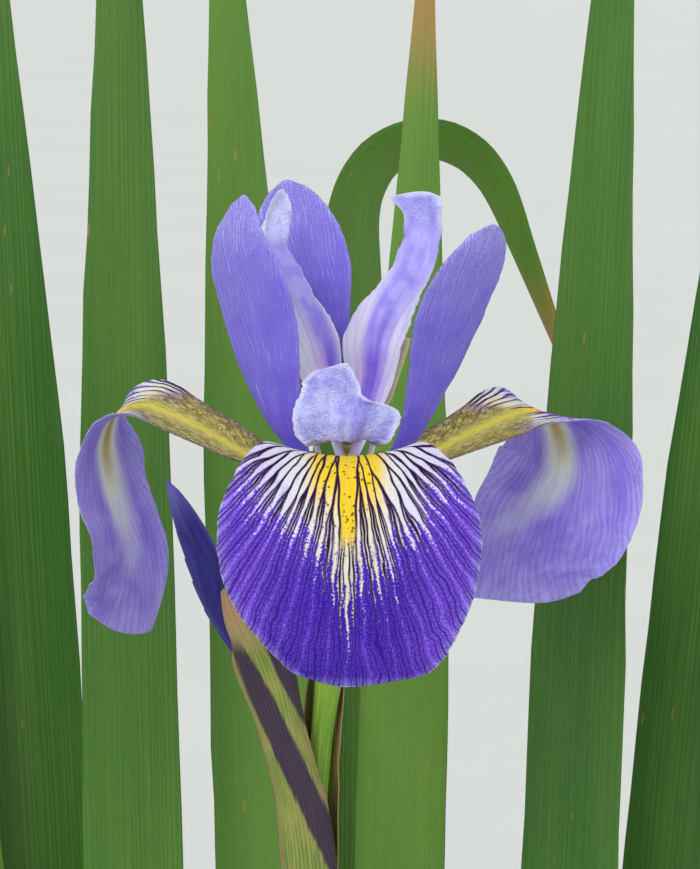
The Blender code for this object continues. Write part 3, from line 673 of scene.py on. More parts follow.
@dataclass(frozen=True)
class Petal:
    """Petal with its measured form and its living surface.

    The spine's points are distance out from the heart, height and shift along the side, in millimetres.
    The next tables have stations from 0 at the foot to 1 at the tip: half widths on the two sides in
    millimetres, lift of the edges above the midline in millimetres, and roll about the spine in degrees.
    Ruffle is the height of the margin's waves, quilting that of the swells between the veins, ragged the
    depth of the margin's teeth, tip the distance by which the tip's corners are rounded back, and
    thickness that of the sheet at its foot and its margin, all in millimetres. The claw ends at the
    aperture, a share of the length. Lanes is the number of main veins.
    """

    name: str
    azimuth: float
    spine: Table
    halves: Table
    lift: Table
    roll: Table
    veins: Veins = Veins.FAN
    rows: int = 120
    columns: int = 72
    lanes: int = 12
    aperture: float = 0.4
    ruffle: float = 0.35
    quilting: float = 0.05
    ragged: float = 0.15
    tip: float = 1.6
    thickness: tuple[float, float] = (0.8, 0.3)

    def unfold(self) -> Unfolded:
        """Middle surface: each row is a parabola that lifts the edges above the midline, turned about the
        spine by the roll. Rows stand closer near the tip, where the edges stand back along the spine by
        the square of their place across, which rounds the tip.

        Returns:
            The surface with its flat measures.
        """
        side, inward = level_directions(self.azimuth)
        spine = np.asarray(self.spine, float)
        knots = spine[:, :1] * -inward + spine[:, 1:2] * UP + spine[:, 2:] * side
        fine = np.linspace(0, 1, SPINE_STEPS)
        path, length = along_points(knots, fine)
        tangent = unit(np.gradient(path, fine, axis=0))
        level = across(tangent, side[None])
        angle = np.radians(read_table(self.roll, fine))
        wide = level * np.cos(angle) + np.cross(tangent, level) * np.sin(angle)
        table = np.concatenate((path, wide, np.cross(tangent, wide), read_table(self.halves, fine),
                                read_table(self.lift, fine)), axis=1)
        u = np.linspace(-1, 1, self.columns)[None] * np.ones((self.rows, 1))
        share = (1 - (1 - np.linspace(0, 1, self.rows)) ** TIP_CROWDING)[:, None]
        share = share - self.tip / length * u * u * eased(share, 0.88, 1)
        at = np.stack([np.interp(share, fine, column) for column in table.T], axis=-1)
        middle, wide, face, left, right, lift = np.split(at, (3, 6, 9, 10, 11), axis=-1)
        run, way = share * length, np.sign(u)
        teeth = noise(grid_field(run * 0.9, way * 7.0, 0.5), len(self.name))
        teeth = teeth + 0.6 * noise(grid_field(run * 2.3, way * 5.0, 3.5), 4)
        half = np.where(u < 0, left[..., 0], right[..., 0]) + self.ragged * teeth * eased(share, 0.3, 0.5)
        sideways = half * u
        points = middle + wide * sideways[..., None] + face * (lift[..., 0] * u * u)[..., None]
        margin = np.minimum((1 - np.abs(u)) * half, (1 - share) * length)
        return Unfolded(points, face, share, u, run, sideways, margin, half)

    def vein_lines(self, flat: Unfolded) -> Array:
        """Lanes of the veins.

        In a fountain the veins are the hyperbolas, and the distances run the ellipses, of the two ends of
        the claw's mouth as foci: the inverse sine of the complex number across + i along, both over half
        the mouth's width, has the lane as its real part and the distance as its imaginary part. In the
        claw the veins keep their share of its width. In a fan they keep their share of the greatest width
        so far, and spread a little more beyond the foot, so they leave through the margin above it.

        Args:
            flat: the petal's middle surface.

        Returns:
            Lane number, distance run and lane width at each point.
        """
        if self.veins is Veins.FAN:
            reach = np.maximum.accumulate(flat.half, axis=0)
            reach = reach + FAN_WIDENING * np.maximum(flat.run - FAN_FROM, 0)
            return grid_field(flat.sideways / reach * self.lanes / 2, flat.run, 2 * reach / self.lanes)
        mouth = np.argmin(np.abs(flat.share[:, self.columns // 2] - self.aperture))
        along = flat.run - flat.run[mouth]
        half_mouth = flat.half[mouth, [0, -1]].mean() / MOUTH_FIT
        beside = np.where(flat.edge < 0, flat.half[mouth, 0], flat.half[mouth, -1])
        lobe = (flat.sideways * (MOUTH_FIT * half_mouth / beside) + 1j * np.maximum(along, 0)) / half_mouth
        wave = np.arcsin(lobe)
        narrow = np.arcsin(MOUTH_FIT * flat.edge)
        lane = np.where(along > 0, wave.real, narrow) * self.lanes / np.pi
        run = np.where(along > 0, half_mouth * np.sinh(np.abs(wave.imag)), along)
        width = np.where(along > 0, half_mouth * np.abs(np.cos(wave)), flat.half * np.cos(narrow))
        return grid_field(lane, run, width * np.pi / self.lanes)

    def relief(self, flat: Unfolded, lines: Array) -> Array:
        """Relief: waves that grow towards the margin, and swells that sink along the veins.

        Args:
            flat: the petal's middle surface.
            lines: lanes of its veins.

        Returns:
            Height over the middle surface in millimetres at each point.
        """
        waves = noise(grid_field(flat.run * 0.16, flat.edge * 1.4, self.azimuth), 3)
        fine = noise(grid_field(flat.run * 0.42, flat.edge * 2.6, self.azimuth), 9)
        out = np.abs(flat.edge) ** 2.2 * eased(flat.share, 0.25, 0.5)
        swell = -np.cos(2 * np.pi * lines[..., 0]) * eased(lines[..., 1], -4, 6)
        return self.ruffle * out * (waves + 0.4 * fine) + self.quilting * swell * eased(flat.margin, 0, 2)

    def skin(self) -> Skin:
        """Closed skin of the petal. It is thickest along the middle of its foot and thin at its margin.

        Returns:
            The skin with the fields that its finish reads.
        """
        flat = self.unfold()
        lines = self.vein_lines(flat)
        points = flat.points + flat.face * self.relief(flat, lines)[..., None]
        foot, rim = self.thickness
        thick = rim + (foot - rim) * np.clip(1 - flat.share / 0.5, 0, 1) * (1 - flat.edge**2)
        thick = thick * (0.35 + 0.65 * eased(flat.margin, 0, 0.8))
        along = flat.run - flat.run[-1, self.columns // 2] * self.aperture
        fields = {
            "veins": lines,
            "place": grid_field(flat.sideways, along, 0.0),
            "edge": grid_field(flat.margin, flat.edge, flat.share),
        }
        return sheet(from_heart(points), thick * MM, fields)


@dataclass(frozen=True)
class StyleArm(Petal):
    """Style arm, whose end turns up into a crest of two lobes.

    The crest begins at a share of the length. Bead is the height of the beads that cover it, spacing the
    distance between them, fold the depth of the fold that parts its lobes, and puff the height by which
    the crest swells away from its margin, in millimetres.
    """

    crest: float = 0.7
    bead: float = 0.08
    spacing: float = 0.42
    fold: float = 0.0
    puff: float = 0.0

    def relief(self, flat: Unfolded, lines: Array) -> Array:
        """Relief of a petal with a raised midrib and, on the crest, lumps, flutes, a fold along a slanting
        line, a swell away from the margin, and beads: what is left of each bead's radius at the distance
        from its middle.

        Args:
            flat: the arm's middle surface.
            lines: lanes of its veins.

        Returns:
            Height over the middle surface in millimetres at each point.
        """
        aside, share = flat.sideways, flat.share
        crest = eased(share, self.crest - 0.1, self.crest + 0.1)
        spots = cells(grid_field(aside / self.spacing, flat.run / self.spacing, 0.5), 5)
        beads = np.clip(1 - spots * 1.5, 0, 1) ** 0.6 * eased(share, self.crest, self.crest + 0.08)
        rib = 0.35 * np.exp(-(aside / 0.9) ** 2) * (1 - eased(share, self.crest - 0.1, self.crest))
        lumps = 0.7 * noise(grid_field(aside * 0.4, flat.run * 0.3, 2.5), 6)
        waver = 1.2 * noise(grid_field(flat.run * 0.3, flat.edge, 7.5), 4)
        flutes = 0.14 * np.cos(aside * 2.6 + waver)
        valley = aside - LOBE_ASIDE - LOBE_DRIFT * (share - LOBE_AT)
        fold = self.fold * np.exp(-(valley / 1.1) ** 2) * eased(share, self.crest + 0.08, self.crest + 0.16)
        puff = self.puff * (1 - np.exp(-flat.margin / 1.3)) * crest
        return super().relief(flat, lines) + self.bead * beads + rib + (lumps + flutes) * crest - fold + puff


@dataclass(frozen=True)
class PetalInk:
    """Colours of a petal's pattern, from screen values."""

    deep: Colour = paint(62, 22, 172)
    body: Colour = paint(116, 64, 214)
    light: Colour = paint(158, 128, 236)
    rim: Colour = paint(170, 160, 230)
    vein: Colour = paint(44, 8, 132)
    white: Colour = paint(218, 220, 222)
    cream: Colour = paint(226, 216, 164)
    yellow: Colour = paint(234, 200, 46)
    amber: Colour = paint(214, 172, 38)
    dark: Colour = paint(40, 2, 56)
    brown: Colour = paint(76, 46, 26)
    olive: Colour = paint(156, 144, 74)
    straw: Colour = paint(196, 186, 112)
    gold: Colour = paint(220, 200, 64)
    lilac_brown: Colour = paint(142, 112, 150)
    ochre: Colour = paint(190, 156, 74)
    pale: Colour = paint(236, 240, 234)
    back: Colour = paint(142, 120, 226)
    back_light: Colour = paint(186, 178, 250)


INK = PetalInk()


@dataclass(frozen=True)
class FallFinish:
    """Finish of a fall: violet with dark forking veins, a yellow signal in cream wedges, and a pale rim.

    The wedges reach a length in millimetres past the mouth, less the slope times the distance from the
    midline. The yellow has a narrow middle tongue and shorter sides, with their own lengths. The
    claw is olive with a yellow midline and brown netting, and goes on past the mouth to the shoulder. The
    lower side is paler, with a cream streak that is gold at its start and drifts aside by the bend times
    the square of the distance. Forks are the distances at which the veins part.
    """

    name: str
    reach: float
    tongue: float
    sides: float
    slope: float = 0.4
    shoulder: float = 5.0
    bend: float = 0.0
    forks: tuple[float, ...] = (5.0, 12.0, 19.0)

    def upper(self, g: Graph) -> tuple[Term, Term]:
        """Upper side.

        Args:
            g: the material.

        Returns:
            Its colour, and where its veins are.
        """
        lane, run, spacing = g.field("veins")
        aside, along, _ = g.field("place")
        margin, _, _ = g.field("edge")
        beside = aside.abs()
        lane = g.stray(lane, 0.6, lane * 0.8, 3.0, detail=0.0)
        lane = g.stray(lane, 0.4, lane * 1.7, run * 0.16)
        bold, thin, faint = [branched(g, lane, run, spacing, self.forks[:count]) for count in (1, 2, 3)]
        streak = g.cloud(lane * 6.0, run * 0.4, 2.0)
        fine = g.cloud(lane * 11.0, run * 1.1, 5.0)
        grain = g.cloud(aside, along, scale=3.0, detail=3.0)
        broad = g.cloud(aside, along, 5.0, scale=0.16, detail=3.0)

        # Cream wedges between the veins, the yellow tongue along the middle and its shorter flanks
        middle = g.stray(aside - 0.15, 1.1, along * 0.16, 2.0, detail=0.0).abs()
        vary = g.chance((lane * 2.0 + 0.5).floor()) * 0.22 + g.chance((lane + 0.5).floor()) * 0.12 + 0.86
        wedge = (self.reach - beside * self.slope) * vary - along
        wedge = wedge + (thin - 0.3) * 12.0 + (streak - 0.5) * 14.0 + (grain - 0.5) * 17.0
        white = wedge.rise(-1.4, 2.4)
        narrow = along.rise(4.0, self.tongue) * -0.35 + 1.42
        tongue = (middle - narrow).rise(0.14, -0.14)
        tongue = tongue * (along + (grain - 0.5) * 9.0).rise(self.tongue + 1.0, self.tongue - 2.5)
        flank = beside.rise(6.6, 4.2) * wedge.rise(2.0, 9.0)
        flank = flank * (along - vary * 5.0 + (streak - 0.5) * 8.0).rise(self.sides + 1.0, self.sides - 8.0)
        signal = white.most(tongue)

        # Violet ground, deeper low down and pale at the margin
        low = along.rise(10.0, 30.0) * beside.rise(18.0, 6.0)
        violet = g.layers(
            INK.body,
            (INK.deep, (low * 0.95 + (broad - 0.5) * 1.3).held()),
            (INK.light, faint.rise(0.1, 0.36) * streak.rise(0.35, 0.7) * 0.16),
            (INK.light, grain.rise(0.4, 0.62) * 0.62 * (1.0 - low * 0.6)),
            (INK.rim, margin.rise(2.2, 0.2) * (fine * 0.7 + grain * 0.5).least(1.0) * 0.7),
            (INK.white, margin.rise(0.28, 0.08) * 0.5))
        pale = g.layers(
            INK.white,
            (INK.light, beside.rise(6.0, 15.0) * 0.25 + grain.rise(0.6, 0.4) * 0.2),
            (INK.cream, beside.rise(10.0, 3.0) * 0.55))

        # Lines of the veins, a border round the tongue and freckles on the cream
        firm = g.chance((lane * 2.0 + 0.5).floor() + 7.0) * 0.05
        bold = bold.rise(0.22 + firm, 0.08 + firm)
        thin = thin.rise(0.22, 0.07)
        line = bold.most(thin * 0.9).most(faint.rise(0.24, 0.08) * (0.5 - signal * 0.3))
        line = (line * (grain.rise(0.18, 0.36) * 0.25 + 0.62)).most(bold.most(thin) * signal)
        border = (middle - narrow - 0.08).abs().rise(0.26, 0.1)
        border = border * along.rise(self.tongue + 3.0, self.tongue - 5.0) * streak.rise(0.1, 0.3)
        line = (line * (1.0 - tongue * 0.94)).most(border)
        near = g.cloud(aside, along, 9.0, scale=0.8, detail=0.0)
        dots = g.spots(g.vector(aside, along, 3.0), 1.25).rise(0.36, 0.22) * near.rise(0.64, 0.5)
        dots = dots * signal * beside.rise(5.0, 3.0) * along.rise(3.0, 7.0) * along.rise(26.0, 18.0)
        colour = g.layers(
            violet,
            (pale, white * (streak.rise(0.25, 0.5) * 0.25 + 0.75)),
            (INK.yellow, flank),
            (g.mix(INK.yellow, INK.amber, grain.rise(0.45, 0.7) * 0.5), tongue),
            (g.mix(INK.vein, INK.dark, signal), line),
            (INK.brown, dots * 0.85))
        return colour, line

    def claw(self, g: Graph) -> Term:
        """Claw: olive with a yellow midline, brown veins that run out obliquely, and lilac-brown margins.

        Args:
            g: the material.

        Returns:
            Its colour.
        """
        aside, along, _ = g.field("place")
        margin, edge, _ = g.field("edge")
        beside, outer = aside.abs(), edge.abs()
        grain = g.cloud(aside, along, 4.0, scale=1.3, detail=3.0)
        fine = g.cloud(aside * 3.0, along * 0.6, 2.0)
        slant = beside * 0.95 - along * 0.55 + (grain - 0.5) * 2.2
        mesh = g.spots(g.vector(aside * 0.8, along * 0.45, 7.0), 1.3).rise(0.5, 0.66)
        net = slant.from_half().rise(0.17, 0.04).most(mesh * 0.6)
        net = net * (outer.rise(0.12, 0.5) * 0.8 + 0.04) * grain.rise(0.2, 0.42)
        return g.layers(
            INK.olive,
            (INK.straw, fine.rise(0.35, 0.65)),
            (INK.gold, (beside + (grain - 0.5) * 1.5).rise(1.4, 0.2) * 0.7),
            (INK.lilac_brown, margin.rise(1.3, 0.2) * 0.55),
            (INK.body, along.rise(-6.0, 0.0) * outer.rise(0.3, 0.8) * 0.8),
            (INK.brown, net.most(outer.rise(0.86, 0.99) * grain.rise(0.42, 0.6) * 0.8)))

    def lower(self, g: Graph) -> Term:
        """Lower side.

        Args:
            g: the material.

        Returns:
            Its colour.
        """
        lane, run, spacing = g.field("veins")
        aside, along, _ = g.field("place")
        margin, _, _ = g.field("edge")
        past = (along - 18.5).most(0.0)
        aside = aside - past * past * self.bend
        beside = aside.abs()
        lane = g.stray(lane, 0.7, lane * 0.9, run * 0.1, 4.0)
        apart = branched(g, lane, run, spacing, (5.0, 13.0))
        streak = g.cloud(lane * 5.0, run * 0.2, 8.0)
        broad = g.cloud(aside, along, 1.0, scale=0.15, detail=3.0)
        grain = g.cloud(aside, along, 6.0, scale=2.6)
        veil = beside.rise(5.5, 0.8) * along.rise(40.0, 10.0) * (streak * 0.6 + broad * 0.4 + 0.6)
        gold = beside.rise(3.0, 0.3) * along.rise(22.0, 10.0) * (streak * 0.7 + 0.6)
        return g.layers(
            INK.back,
            (INK.back_light, ((broad - 0.35) * 1.9 + (streak - 0.5)).held()),
            (INK.back_light, margin.rise(5.0, 0.5) * grain.rise(0.3, 0.6) * 0.6),
            (INK.body, apart.rise(0.4, 0.08) * 0.3 * streak.rise(0.2, 0.55)),
            (INK.pale, veil.held()),
            (INK.ochre, gold.least(0.92)),
            (INK.straw, along.rise(3.0, -2.0) * 0.8),
            (INK.rim, margin.rise(0.5, 0.1) * 0.5))

    def material(self) -> bpy.types.Material:
        """Joins the upper side, the lower side and the claw, with raised veins.

        Returns:
            The material.
        """
        g = Graph(self.name)
        lane, run, _ = g.field("veins")
        _, along, under = g.field("place")
        _, edge, share = g.field("edge")
        upper, line = self.upper(g)
        claw = (along + edge.abs() * (3.0 + self.shoulder) - self.shoulder).rise(0.5, -2.5)
        both = g.layers(upper, (self.lower(g), under), (self.claw(g), claw))
        fine = g.cloud(lane * 9.0, run * 0.7)
        g.bump((1.0 - line, 0.06 * MM), (g.spots(g.place(), SKIN_CELLS), 0.05 * MM), (fine, 0.08 * MM))
        return g.finish(both, share * 0.1 + 0.56, gloss=0.12)


@dataclass(frozen=True)
class StandardFinish:
    """Finish of a standard: lilac with fine darker veins, violet at the base and frosted at the tip."""

    name: str = "standard"
    forks: tuple[float, ...] = (8.0, 18.0, 28.0)

    def material(self) -> bpy.types.Material:
        """Lays the tints and the veins over the lilac.

        Returns:
            The material.
        """
        g = Graph(self.name)
        lane, run, spacing = g.field("veins")
        aside, _, under = g.field("place")
        margin, _, share = g.field("edge")
        lane = g.stray(lane, 0.8, lane * 0.7, under * 4.0, detail=0.0)
        lane = g.stray(lane, 0.55, lane * 1.6, run * 0.14, under)
        apart, faint = [branched(g, lane, run, spacing, self.forks[:count]) for count in (2, 3)]
        streak = g.cloud(lane * 5.0, run * 0.3, 2.0)
        grain = g.cloud(aside, run, under * 3.0, scale=2.8, detail=3.0)
        broad = g.cloud(aside, run, under * 5.0, scale=0.17, detail=3.0)
        frost = share.rise(0.68, 1.0) * 0.6 + margin.rise(0.9, 0.1) * 0.6
        line = apart.rise(0.34, 0.1).most(faint.rise(0.26, 0.08) * 0.6) * streak.rise(0.1, 0.45)
        colour = g.layers(
            paint(150, 136, 242),
            (paint(178, 170, 252), (broad * 2.4 - 0.7).held()),
            (paint(176, 168, 242), streak.rise(0.42, 0.7) * 0.5 + grain.rise(0.5, 0.68) * 0.25),
            (paint(118, 82, 212), share.rise(0.46, 0.12) * 0.75),
            (INK.pale, share.rise(0.13, 0.02) * 0.5),
            (paint(206, 208, 248), (frost * (grain.rise(0.36, 0.62) + 0.12)).least(1.0)),
            (paint(82, 56, 188), line * (0.85 - share * 0.3)))
        g.bump((1.0 - line, 0.08 * MM), (g.spots(g.place(), SKIN_CELLS), 0.04 * MM), (streak, 0.1 * MM))
        return g.finish(colour, 0.5, glow=0.06, gloss=0.2)


@dataclass(frozen=True)
class StyleFinish:
    """Finish of a style arm: pale lilac with white sides, a violet rib at a distance from the middle in
    millimetres, and a frosted crest, which begins at a share of the length. The crest's bead tops are pale,
    partly their own frosted white and partly painted glints, and its margin has a painted highlight.
    Painted lobe shade is 1 where painted shade darkens the fold that parts the crest and the foot of its
    right lobe, else 0. Beads is the spacing of the crest's beads in millimetres."""

    name: str
    crest: float
    rib: float = 0.0
    painted_lobe_shade: float = 0.0
    beads: float = 0.42
    frosted: Colour = paint(182, 184, 238)
    hollow: Colour = paint(138, 136, 218)

    def material(self) -> bpy.types.Material:
        """Lays the arm's tints and its crest's over each other.

        Returns:
            The material.
        """
        g = Graph(self.name)
        lane, run, spacing = g.field("veins")
        aside, _, under = g.field("place")
        margin, _, share = g.field("edge")
        fine = g.cloud(aside * 2.0, run * 0.25, 3.0)
        broad = g.cloud(aside, run, under * 5.0, scale=0.3, detail=3.0)
        grain = g.cloud(aside, run, 6.0, scale=2.6)
        apart = branched(g, lane + (broad - 0.5) * 0.4, run, spacing, (16.0,))
        side = aside - self.rib
        beside = side.abs()
        white = beside.rise(1.2, 3.2) * share.rise(self.crest, 0.38) * (broad * 0.5 + 0.7)
        pink = share.rise(0.5, 0.26) * beside.rise(0.6, 1.6) * (side * self.rib).rise(2.0, -1.0)
        rib = beside.rise(1.9, 0.2) * share.rise(0.06, 0.2) * share.rise(0.56, 0.3)
        arm = g.layers(
            paint(176, 166, 240),
            (paint(152, 138, 230), broad.rise(0.35, 0.65)),
            (paint(232, 228, 236), white.least(1.0)),
            (paint(222, 190, 222), pink * beside.rise(3.8, 2.0) * 0.9),
            (paint(118, 72, 208), (rib * (fine * 0.3 + 0.62)).least(1.0)),
            (paint(232, 228, 238), margin.rise(0.9, 0.15) * share.rise(self.crest, 0.5) * 0.8),
            (INK.back, apart.rise(0.18, 0.06) * 0.2))
        bead = g.spots(g.vector(aside / self.beads, run / self.beads), 1.0)
        crest = share.rise(self.crest - 0.03, self.crest + 0.06)
        # Painted shade on the crest: darker violet-blue down the fold between its lobes and low on its right
        # lobe
        valley = (aside - LOBE_ASIDE - (share - LOBE_AT) * LOBE_DRIFT).abs().rise(1.5, 0.2)
        valley = valley * share.rise(self.crest + 0.06, self.crest + 0.14) * share.rise(0.96, 0.88)
        shaded = valley.most(aside.rise(1.0, 4.0) * share.rise(0.78, 0.7)) * self.painted_lobe_shade
        frosted = g.layers(
            self.hollow,
            (self.frosted, broad.rise(0.38, 0.62) * 0.7 + grain.rise(0.35, 0.6) * 0.3),
            (paint(122, 112, 204), shaded * 0.75),
            # Pale bead tops: partly the beads' own frosted white, partly painted glints
            (paint(218, 222, 250), bead.rise(0.36, 0.1) * grain.rise(0.4, 0.6) * 0.7),
            # Painted highlight round the crest's margin
            (paint(222, 224, 250), margin.rise(1.2, 0.1) * 0.65))
        g.bump((bead.rise(0.6, 0.1) * crest, 0.06 * MM), (fine, 0.05 * MM), (grain * crest, 0.05 * MM))
        return g.finish(g.mix(arm, frosted, crest), 0.4, sheen=0.04, glow=0.1, gloss=0.4)


# Flower head


@dataclass(frozen=True)
class HeadRod:
    """Round piece of the flower head along smooth points.

    Rows hold x, y and z from the heart and the radius, in millimetres. Ridges is the number of lengthwise
    ridges or overlapping edges round it, depth their height as a share of the radius, and spiral the
    turns that they make from end to end. Overlapping edges rise slowly and drop sharply.
    """

    name: str
    rows: Table
    ridges: int = 0
    depth: float = 0.0
    spiral: float = 0.0
    overlapping: bool = False
    rings: int = 70
    around: int = 40

    def skin(self) -> Skin:
        """Closed skin with round places: cosine and sine of the turn, and the share of the way along.

        Returns:
            The skin.
        """
        share = np.linspace(0, 1, self.rings)
        shape, length = along_points(np.asarray(self.rows, float), share)
        turn = full_turn(self.around)
        phase = self.ridges * turn[None] / (2 * np.pi) + self.spiral * share[:, None]
        ridge = 2 * (phase % 1) ** 3 - 0.5 if self.overlapping else np.cos(2 * np.pi * phase)
        round_off = np.sqrt(np.clip(np.minimum(share, 1 - share) * 30, 0.15, 1))[:, None]
        radius = shape[:, 3:4] * (1 + self.depth * ridge) * round_off
        rings = around_path(shape[:, :3], radius, turn)
        fields = {
            "round": grid_field(np.cos(turn)[None], np.sin(turn)[None], share[:, None]),
            "place": grid_field(phase, share[:, None] * length, ridge),
        }
        return tube(from_heart(rings), fields)


@dataclass(frozen=True)
class Stamen:
    """Stamen: a thin filament that ends in a long anther with a groove along it.

    Points are distance out and height from the heart, in millimetres, and azimuth is the direction out in
    degrees.
    """

    name: str
    azimuth: float
    points: Table
    filament: float = 0.5
    anther: float = 0.85
    anther_from: float = 0.56
    rings: int = 60
    around: int = 20

    def skin(self) -> Skin:
        """Closed skin: the anther takes the last part, flat in section and grooved.

        Returns:
            The skin.
        """
        _, inward = level_directions(self.azimuth)
        table = np.asarray(self.points, float)
        share = np.linspace(0, 1, self.rings)
        path, _ = along_points(table[:, :1] * -inward + table[:, 1:] * UP, share)
        turn = full_turn(self.around)
        head = eased(share, self.anther_from, 0.62) * np.sqrt(np.clip((1 - share) * 12, 0.1, 1))
        groove = 1 - 0.3 * np.exp(-((turn - np.pi / 2) / 0.5) ** 2)
        radius = self.filament + (self.anther * groove[None] - self.filament) * head[:, None]
        rings = around_path(path, radius, turn)
        return tube(from_heart(rings), {"place": grid_field(share[:, None], turn[None])})


@dataclass(frozen=True)
class SpatheValve:
    """Spathe valve: a boat-shaped papery sheet, folded along its keel towards way (-1 front, +1 rear).

    Stations are points of the fold's edge line from the heart with the half width and depth of the fold,
    in millimetres.
    """

    name: str
    stations: Table
    way: int
    rows: int = 90
    columns: int = 44
    thickness: float = 0.5

    def skin(self) -> Skin:
        """Closed skin: half an oval in section, with fine lengthwise ribs and a wavy margin.

        Returns:
            The skin.
        """
        share = np.linspace(0, 1, self.rows)
        shape, length = along_points(np.asarray(self.stations, float), share)
        x, y, z, half, depth = np.split(shape, 5, axis=1)
        angle = np.linspace(-1, 1, self.columns)[None] * np.pi / 2
        sine = np.sin(angle)
        run = share[:, None] * length
        waves = 0.25 * noise(grid_field(run * 0.22, np.sign(angle), 0.3), 8) * np.abs(sine) ** 4
        ribs = 0.05 * np.cos(angle * 13) + 0.12 * noise(grid_field(run * 0.1, angle * 1.5, 4.0), 2)
        grow = 1 + (ribs + waves) / np.maximum(half, 1.0)
        points = grid_field(
            x + half * sine * grow,
            y + self.way * depth * np.cos(angle) ** 0.8 * grow,
            z - 0.6 * sine**2 * eased(share, 0.9, 1)[:, None])
        margin = (1 - np.abs(sine)) * half * 1.4
        fields = {
            "place": grid_field(angle, run, 0.0),
            "edge": grid_field(margin, sine, share[:, None]),
        }
        thick = self.thickness * (0.3 + 0.7 * eased(margin, 0, 1.5))
        return sheet(from_heart(points), thick * MM, fields)


@dataclass(frozen=True)
class SpatheFinish:
    """Finish of a spathe valve: yellow-green with grey-green ribs, tan and pinkish at the margins and tip,
    and dark purple bands.

    Bands are lines on the valve's front: x at the start, height at the start, slope of x against the fall
    in height, and half width, in millimetres from the heart.
    """

    name: str
    bands: Table = ()

    def material(self) -> bpy.types.Material:
        """Lays ribs, dry margins and purple bands over the green, and dulls the inside.

        Returns:
            The material.
        """
        g = Graph(self.name)
        angle, run, under = g.field("place")
        margin, _, share = g.field("edge")
        x, _, z = g.split(g.place())
        x, z = x / MM, z / MM - HEART[2]
        fine = g.cloud(angle * 9.0, run * 0.12, 1.0, detail=3.0)
        broad = g.cloud(angle * 1.5, run * 0.14, 5.0, detail=3.0)
        rib = (angle * 7.0 + (fine - 0.5) * 0.8).from_half().rise(0.12, 0.42)
        dry = (margin.rise(1.2, 0.2) + share.rise(0.74, 0.92) + (broad - 0.5) * 0.7).held()
        purple = fine.rise(0.5, 0.75) * share.rise(0.7, 0.2) * 0.3
        for start, height, slope, half in self.bands:
            middle = (x - start) - (height - z) * slope
            grown = (height - z).rise(-2.0, 10.0) * half * 0.5 + half * 0.6
            band = (middle.abs() + (fine - 0.5) * 1.0 - grown).rise(0.3, -0.3)
            purple = purple.most(band * (z - height).rise(2.5, -1.5))
        colour = g.layers(
            paint(132, 148, 60),
            (paint(94, 112, 62), rib * 0.8),
            (paint(154, 154, 74), broad.rise(0.4, 0.7) * 0.6),
            (paint(176, 136, 104), dry * 0.8),
            (paint(146, 96, 96), dry * fine.rise(0.5, 0.7) * 0.6),
            (paint(46, 10, 60), purple * (0.96 - rib * 0.1)),
            (paint(140, 150, 70), (1.0 - under) * 0.5))
        g.bump((rib, 0.08 * MM), (fine, 0.06 * MM))
        return g.finish(colour, 0.5 - rib * 0.06, gloss=0.35)


@dataclass(frozen=True)
class RodFinish:
    """Finish of a green or violet rod: one colour at the foot, one at the top, and fine lines along it.

    The colour changes between two shares of the length. Strength is how far the lines cover it.
    """

    name: str
    foot: Colour
    top: Colour
    lines: Colour
    change: tuple[float, float] = (0.2, 0.8)
    strength: float = 0.5
    roughness: float = 0.42

    def material(self) -> bpy.types.Material:
        """Lays the top's colour and the lines over the foot's colour.

        Returns:
            The material.
        """
        g = Graph(self.name)
        cosine, sine, share = g.field("round")
        _, run, _ = g.field("place")
        fine = g.cloud(cosine * 4.0, sine * 4.0, run * 0.06, scale=1.6, detail=3.0)
        broad = g.cloud(cosine, sine, run * 0.05, scale=1.3)
        colour = g.layers(
            self.foot,
            (self.top, (share + (broad - 0.5) * 0.4).rise(*self.change)),
            (self.lines, fine.rise(0.5, 0.68) * self.strength))
        g.bump((fine, 0.12 * MM), (g.spots(g.place(), 3500.0), 0.02 * MM))
        return g.finish(colour, self.roughness, glow=0.05, gloss=0.4)


@dataclass(frozen=True)
class BudFinish:
    """Finish of the closed bud: dark blue-violet with fine lines, darker in front, pale at its tip and
    green at its foot."""

    name: str = "bud"

    def material(self) -> bpy.types.Material:
        """Lays the lines, the tip and the green foot over the blue-violet.

        Returns:
            The material.
        """
        g = Graph(self.name)
        cosine, sine, share = g.field("round")
        _, run, _ = g.field("place")
        fine = g.cloud(cosine * 5.0, sine * 5.0, run * 0.1, scale=1.6, detail=3.0)
        broad = g.cloud(cosine, sine, run * 0.08, scale=1.2)
        colour = g.layers(
            paint(28, 22, 112),
            (paint(60, 48, 152), broad.rise(0.35, 0.75)),
            (paint(26, 18, 92), fine.rise(0.48, 0.66) * 0.7),
            (paint(20, 16, 78), sine.rise(-0.2, -0.9) * 0.4),
            (paint(120, 112, 200), share.rise(0.86, 1.0) * 0.5),
            (paint(96, 118, 70), share.rise(0.5, 0.34)))
        g.bump((fine, 0.1 * MM), (g.spots(g.place(), SKIN_CELLS), 0.02 * MM))
        return g.finish(colour, 0.46, sheen=0.04, gloss=0.3)


@dataclass(frozen=True)
class StamenFinish:
    """Finish of a stamen: cream filament, and an anther dusty with pollen."""

    name: str = "stamen"

    def material(self) -> bpy.types.Material:
        """Lays the anther's colour and the pollen over the cream.

        Returns:
            The material.
        """
        g = Graph(self.name)
        share, _, _ = g.field("place")
        grain = g.spots(g.place(), SKIN_CELLS)
        colour = g.layers(
            paint(226, 220, 206),
            (paint(214, 196, 150), share.rise(0.55, 0.62)),
            (paint(248, 240, 214), grain.rise(0.5, 0.2) * 0.6))
        g.bump((grain, 0.08 * MM))
        return g.finish(colour, 0.7)


